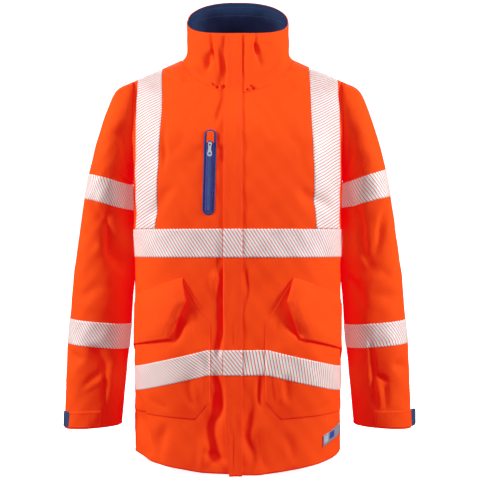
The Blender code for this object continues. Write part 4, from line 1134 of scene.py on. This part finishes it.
# where the tab is sewn down, where its cloth stops, where the grip starts and ends, in degrees
TAB_SEWN, TAB_TURNS = 108.0, {1: (19.0, 18.7, -10.0), -1: (43.1, 42.8, -6.0)}


def on_tab(side, t, turn, lift=0.0):
    """Point over a cuff tab's place on the sleeve, with turn in degrees."""
    return sleeve(side, t, math.radians(turn), TAPE_LIFT + eased(TAB_STANDS[side], turn, 1) + lift)


def tab_rows(side, first, last, ease, count):
    """Rows of a tab between two turns in degrees; ease rounds its end off."""
    rows = []
    for down in steps(TAB_ROWS):
        row = []
        for share in steps(count):
            turn, narrow = mix(first, last, share), 0.5 * ease * (1 - math.sqrt(1 - share ** 3))
            top = TAB_TOP + TAB_DROP[side] * clamp((TAB_SEWN - turn) / 80) + narrow
            row.append(on_tab(side, mix(top, TAB_BOTTOM - narrow, down), turn))
        rows.append(row[::-side])
    return rows


for side, name in SIDES:
    sleeve_under = [f"sleeve_{name}_cloth"]
    cloth_end, grip_start, free = TAB_TURNS[side]
    shell_piece(f"cuff_tab_{name}", tab_rows(side, TAB_SEWN, cloth_end, 0.0, 36), TAB_WALL, sleeve_under)
    cloth_piece(f"cuff_tip_{name}_grip", tab_rows(side, grip_start, free, 0.7, 24), tip_finish,
                TAB_WALL, f"cuff_tab_tip_{name}", "navy_cloth", sleeve_under)

# ==== Label near the hem =================================================
# A flat film label with welded edges, left plain apart from two coloured
# squares, pressed on at a slant near the wearer's left side seam.
LABEL_LIFT, LABEL_WALL, LABEL_STEPS, LABEL_ROWS = 0.0012, 0.0006, 24, 12
LABEL_CORNERS, LABEL_HEIGHT = ((0.1556, -0.709), (0.1905, -0.6905)), 0.0205
label_finish = Finish("label_film", (0.36, 0.36, 0.42), 0.42)
reach, drop = label_finish.measure("across"), label_finish.measure("down")
inset = (drop > 0.0026) * (1.0 - (drop > 0.0155))
ground = label_finish.tint(label_finish.noise(120.0), (0.2, 0.19, 0.24), (0.3, 0.29, 0.33))
for start, end, colour in ((0.0035, 0.016, (0.4, 0.44, 0.56)), (0.0205, 0.037, (0.035, 0.06, 0.33))):
    ground = label_finish.tint((reach > start) * (1.0 - (reach > end)) * inset, ground, colour)
label_finish.set("Base Color", ground)
(x0, z0), (x1, z1) = LABEL_CORNERS
rows = []
for r in range(LABEL_ROWS + 1):
    drop = LABEL_HEIGHT * r / LABEL_ROWS
    rows.append([torso(mix(x0, x1, share), mix(z0, z1, share) - drop, LABEL_LIFT)
                 for share in steps(LABEL_STEPS)])
cloth_piece("hem_label_film", rows, label_finish, LABEL_WALL, "hem_label", "label_film",
            ["front_left_cloth"])

# ==== Stitching ==========================================================
# Lockstitch in orange polyester thread, about three stitches to the
# centimetre, along each topstitched edge; navy thread on the collar's lining.
STITCH, STITCH_PITCH = (0.00145, 0.00034, 0.0003), 0.0035
thread_finish = Finish("orange_thread", (0.7, 0.05, 0.007), 0.55)
# painted glow: the thread gives off the same red light as the cloth
thread_finish.glow(PAINTED_RED_GLOW, 0.2)
navy_thread = Finish("navy_thread", (0.026, 0.048, 0.11), 0.6)


def stitched(place, length):
    """Stitches along place(share, lift), a line of about the given length on the cloth."""
    count = max(2, round(length / STITCH_PITCH))
    spots = [place((i + 0.5) / count, 0.0002) for i in range(count)]
    beads = []
    for i, spot in enumerate(spots):
        run = (spots[min(i + 1, count - 1)] - spots[max(i - 1, 0)]).normalized()
        out = (place((i + 0.5) / count, 0.0012) - spot).normalized()
        beads.append(bead(spot, run * STITCH[0], run.cross(out) * STITCH[1], out * STITCH[2], 5, 2))
    return merged(beads)


def seam(place, corners, *lengths):
    """Stitches from corner to corner; place puts their two numbers and a lift on the cloth."""
    def on_cloth(share, lift):
        return place(*(mix(a, b, share) for a, b in zip(start, end)), lift)

    shapes = []
    for start, end, length in zip(corners, corners[1:], lengths):
        shapes.append(stitched(on_cloth, length))
    return shapes


def stitch_piece(name, seams, finish=thread_finish):
    hard_piece(name, merged(seams), finish)


flap_top = FLAP_LIFT + FLAP_WALL
seams = []
for across in (FLAP_EDGE + 0.0018, FLAP_EDGE + 0.0075, FLAP_SEAM - 0.0016, FLAP_SEAM - 0.0075):
    seams += seam(lambda a, z, lift: flap_point(a, None, z, flap_top + lift),
                  ((across, top_z(across, False) - 0.003), (across, flap_foot(across) + 0.002)), 0.68)
    seams += seam(lambda a, level, lift: flap_point(a, level, 0.0, flap_top + lift),
                  ((across, 0.96), (across, 0.075)), 0.11)
stitch_piece("stitching_storm_flap", seams)
seams = []
for back, low, high in ((False, 0.004 - EDGE, FLAP_EDGE - 0.001),
                        (False, FLAP_SEAM + 0.001, EDGE - 0.004), (True, 0.004 - EDGE, EDGE - 0.004)):
    for rise in (0.003, 0.021):
        seams += seam(lambda a, above, lift: torso(a, hem_z(a, back) + above, lift, back),
                      ((low, rise), (high, rise)), high - low)
stitch_piece("stitching_hem", seams)
bags, flaps, cuffs, tabs = [], [], [], []
for side in (1, -1):
    corners = ((0.0995, -0.423), (POCKET_FRONT + 0.0016, -0.503), (POCKET_FRONT + 0.0016, -0.639),
               (0.0785, -0.672), (0.219, -0.667))
    bags += seam(lambda a, z, lift: torso(side * a, z, pocket_lift(side * a, z) + BAG_WALL + lift),
                 corners, *(math.dist(*ends) for ends in zip(corners, corners[1:])))
    for inset in (0.035, 0.095):
        foot = 1.0 - inset * 0.9
        corners = ((0.02, inset), (0.36, inset), (foot, inset * 1.2), (foot, 0.985))
        flaps += seam(lambda down, share, lift: pocket_flap_point(
            side, down, share, POCKET_FLAP_WALL + lift), corners, 0.045, 0.078, 0.115)
    for t in (18.35, 18.85):
        cuffs += seam(lambda t, turn, lift: sleeve(side, t, turn, lift), ((t, 0.0), (t, 2 * math.pi)), 0.29)
    first, last = TAB_SEWN - 1, TAB_TURNS[side][0] + 1
    for ends, length in ((((17.07, first), (17.07 + TAB_DROP[side], last)), 0.09),
                         (((18.1, first), (18.1, last)), 0.09),
                         (((17.1, first - 1), (18.1, first - 1)), 0.026),
                         (((17.1, first - 21), (18.1, first - 21)), 0.026)):
        tabs += seam(lambda t, turn, lift: on_tab(side, t, turn, TAB_WALL + lift), ends, length)
stitch_piece("stitching_pocket_bags", bags)
stitch_piece("stitching_pocket_flaps", flaps)
stitch_piece("stitching_cuffs", cuffs + tabs)
seams = []
for back in (False, True):
    for level in (0.955, 0.8):
        seams += seam(lambda level, turn, lift: collar_point(
            NECK_HALF * math.sin(math.pi * turn), back, level, lift), ((level, -0.5), (level, 0.5)), 0.31)
stitch_piece("stitching_collar", seams)
seams = []
for level in (0.93, 0.8):
    seams += seam(lambda level, turn, lift: collar_point(
        0.098 * math.sin(math.pi * turn), True, level, inside - LINING_WALL - lift),
        ((level, -0.5), (level, 0.5)), 0.29)
stitch_piece("stitching_lining", seams, navy_thread)
welt_line = stadium(WELT_LENGTH, WELT_WIDTH, -0.0016)
stitch_piece("stitching_welt", [stitched(lambda share, lift: welt_place(
    *welt_line[min(int(share * len(welt_line)), len(welt_line) - 1)], lift), 0.33)])

# ==== Studio =============================================================
# A white paper floor that runs up a wall behind the jacket, lit softly from
# the front and above, with one lamp behind for the views of the back.  The
# camera is level and square to the chest.
scene = bpy.context.scene
scene.view_settings.view_transform = "Standard"
FLOOR_Z = cad_box[0][2] - 0.0005
SWEEP_DEPTH, SWEEP_ROUND, SWEEP_HALF, SWEEP_TOP = 2.6, 0.8, 5.0, 4.0

paper = Finish("white_paper", (0.93, 0.93, 0.93), 0.9)
paper.glow((1.0, 1.0, 1.0), 0.95)
profile = [(-SWEEP_DEPTH, FLOOR_Z), (SWEEP_DEPTH, FLOOR_Z)]
profile += [(SWEEP_DEPTH + SWEEP_ROUND * math.sin(math.pi * i / 32),
             FLOOR_Z + SWEEP_ROUND * (1 - math.cos(math.pi * i / 32))) for i in range(1, 17)]
profile.append((SWEEP_DEPTH + SWEEP_ROUND, SWEEP_TOP))
sweep = add_mesh("paper_sweep", [(x, y, z) for y, z in profile for x in (-SWEEP_HALF, SWEEP_HALF)],
                 [(2 * i, 2 * i + 1, 2 * i + 3, 2 * i + 2) for i in range(len(profile) - 1)], paper)
sweep.visible_diffuse = sweep.visible_glossy = False

# name, place, aimed at, size, watts
LAMPS = (
    ("key_left", (-2.18, -0.88, 0.6), (0.0, 0.0, -0.36), (0.5, 0.7), 80.0),
    ("key_right", (2.18, -0.88, 0.5), (0.0, 0.0, -0.36), (0.5, 0.7), 76.0),
    ("top", (0.0, -0.9, 1.5), (0.0, 0.0, -0.2), (0.8, 0.5), 9.0),
    ("back", (0.0, 2.2, 1.4), (0.0, 0.0, -0.35), (1.2, 0.8), 60.0),
)
for name, place, aim, size, watts in LAMPS:
    light = bpy.data.lights.new(name, "AREA")
    light.shape, light.size, light.size_y, light.energy = "RECTANGLE", *size, watts
    lamp = bpy.data.objects.new(name, light)
    lamp.location = place
    lamp.rotation_euler = (Vector(aim) - Vector(place)).to_track_quat("-Z", "Y").to_euler()
    scene.collection.objects.link(lamp)
world = bpy.data.worlds.new("studio")
world.use_nodes = True
world.node_tree.nodes["Background"].inputs["Color"].default_value = (1.0, 1.0, 1.0, 1.0)
world.node_tree.nodes["Background"].inputs["Strength"].default_value = 0.06
scene.world = world

view = bpy.data.cameras.new("camera")
view.sensor_width, view.lens = 36.0, 101.4
camera = bpy.data.objects.new("camera", view)
camera.location, camera.rotation_euler = (0.0042, -2.6, -0.35), (math.radians(90), 0.0, 0.0)
scene.collection.objects.link(camera)
scene.camera = camera
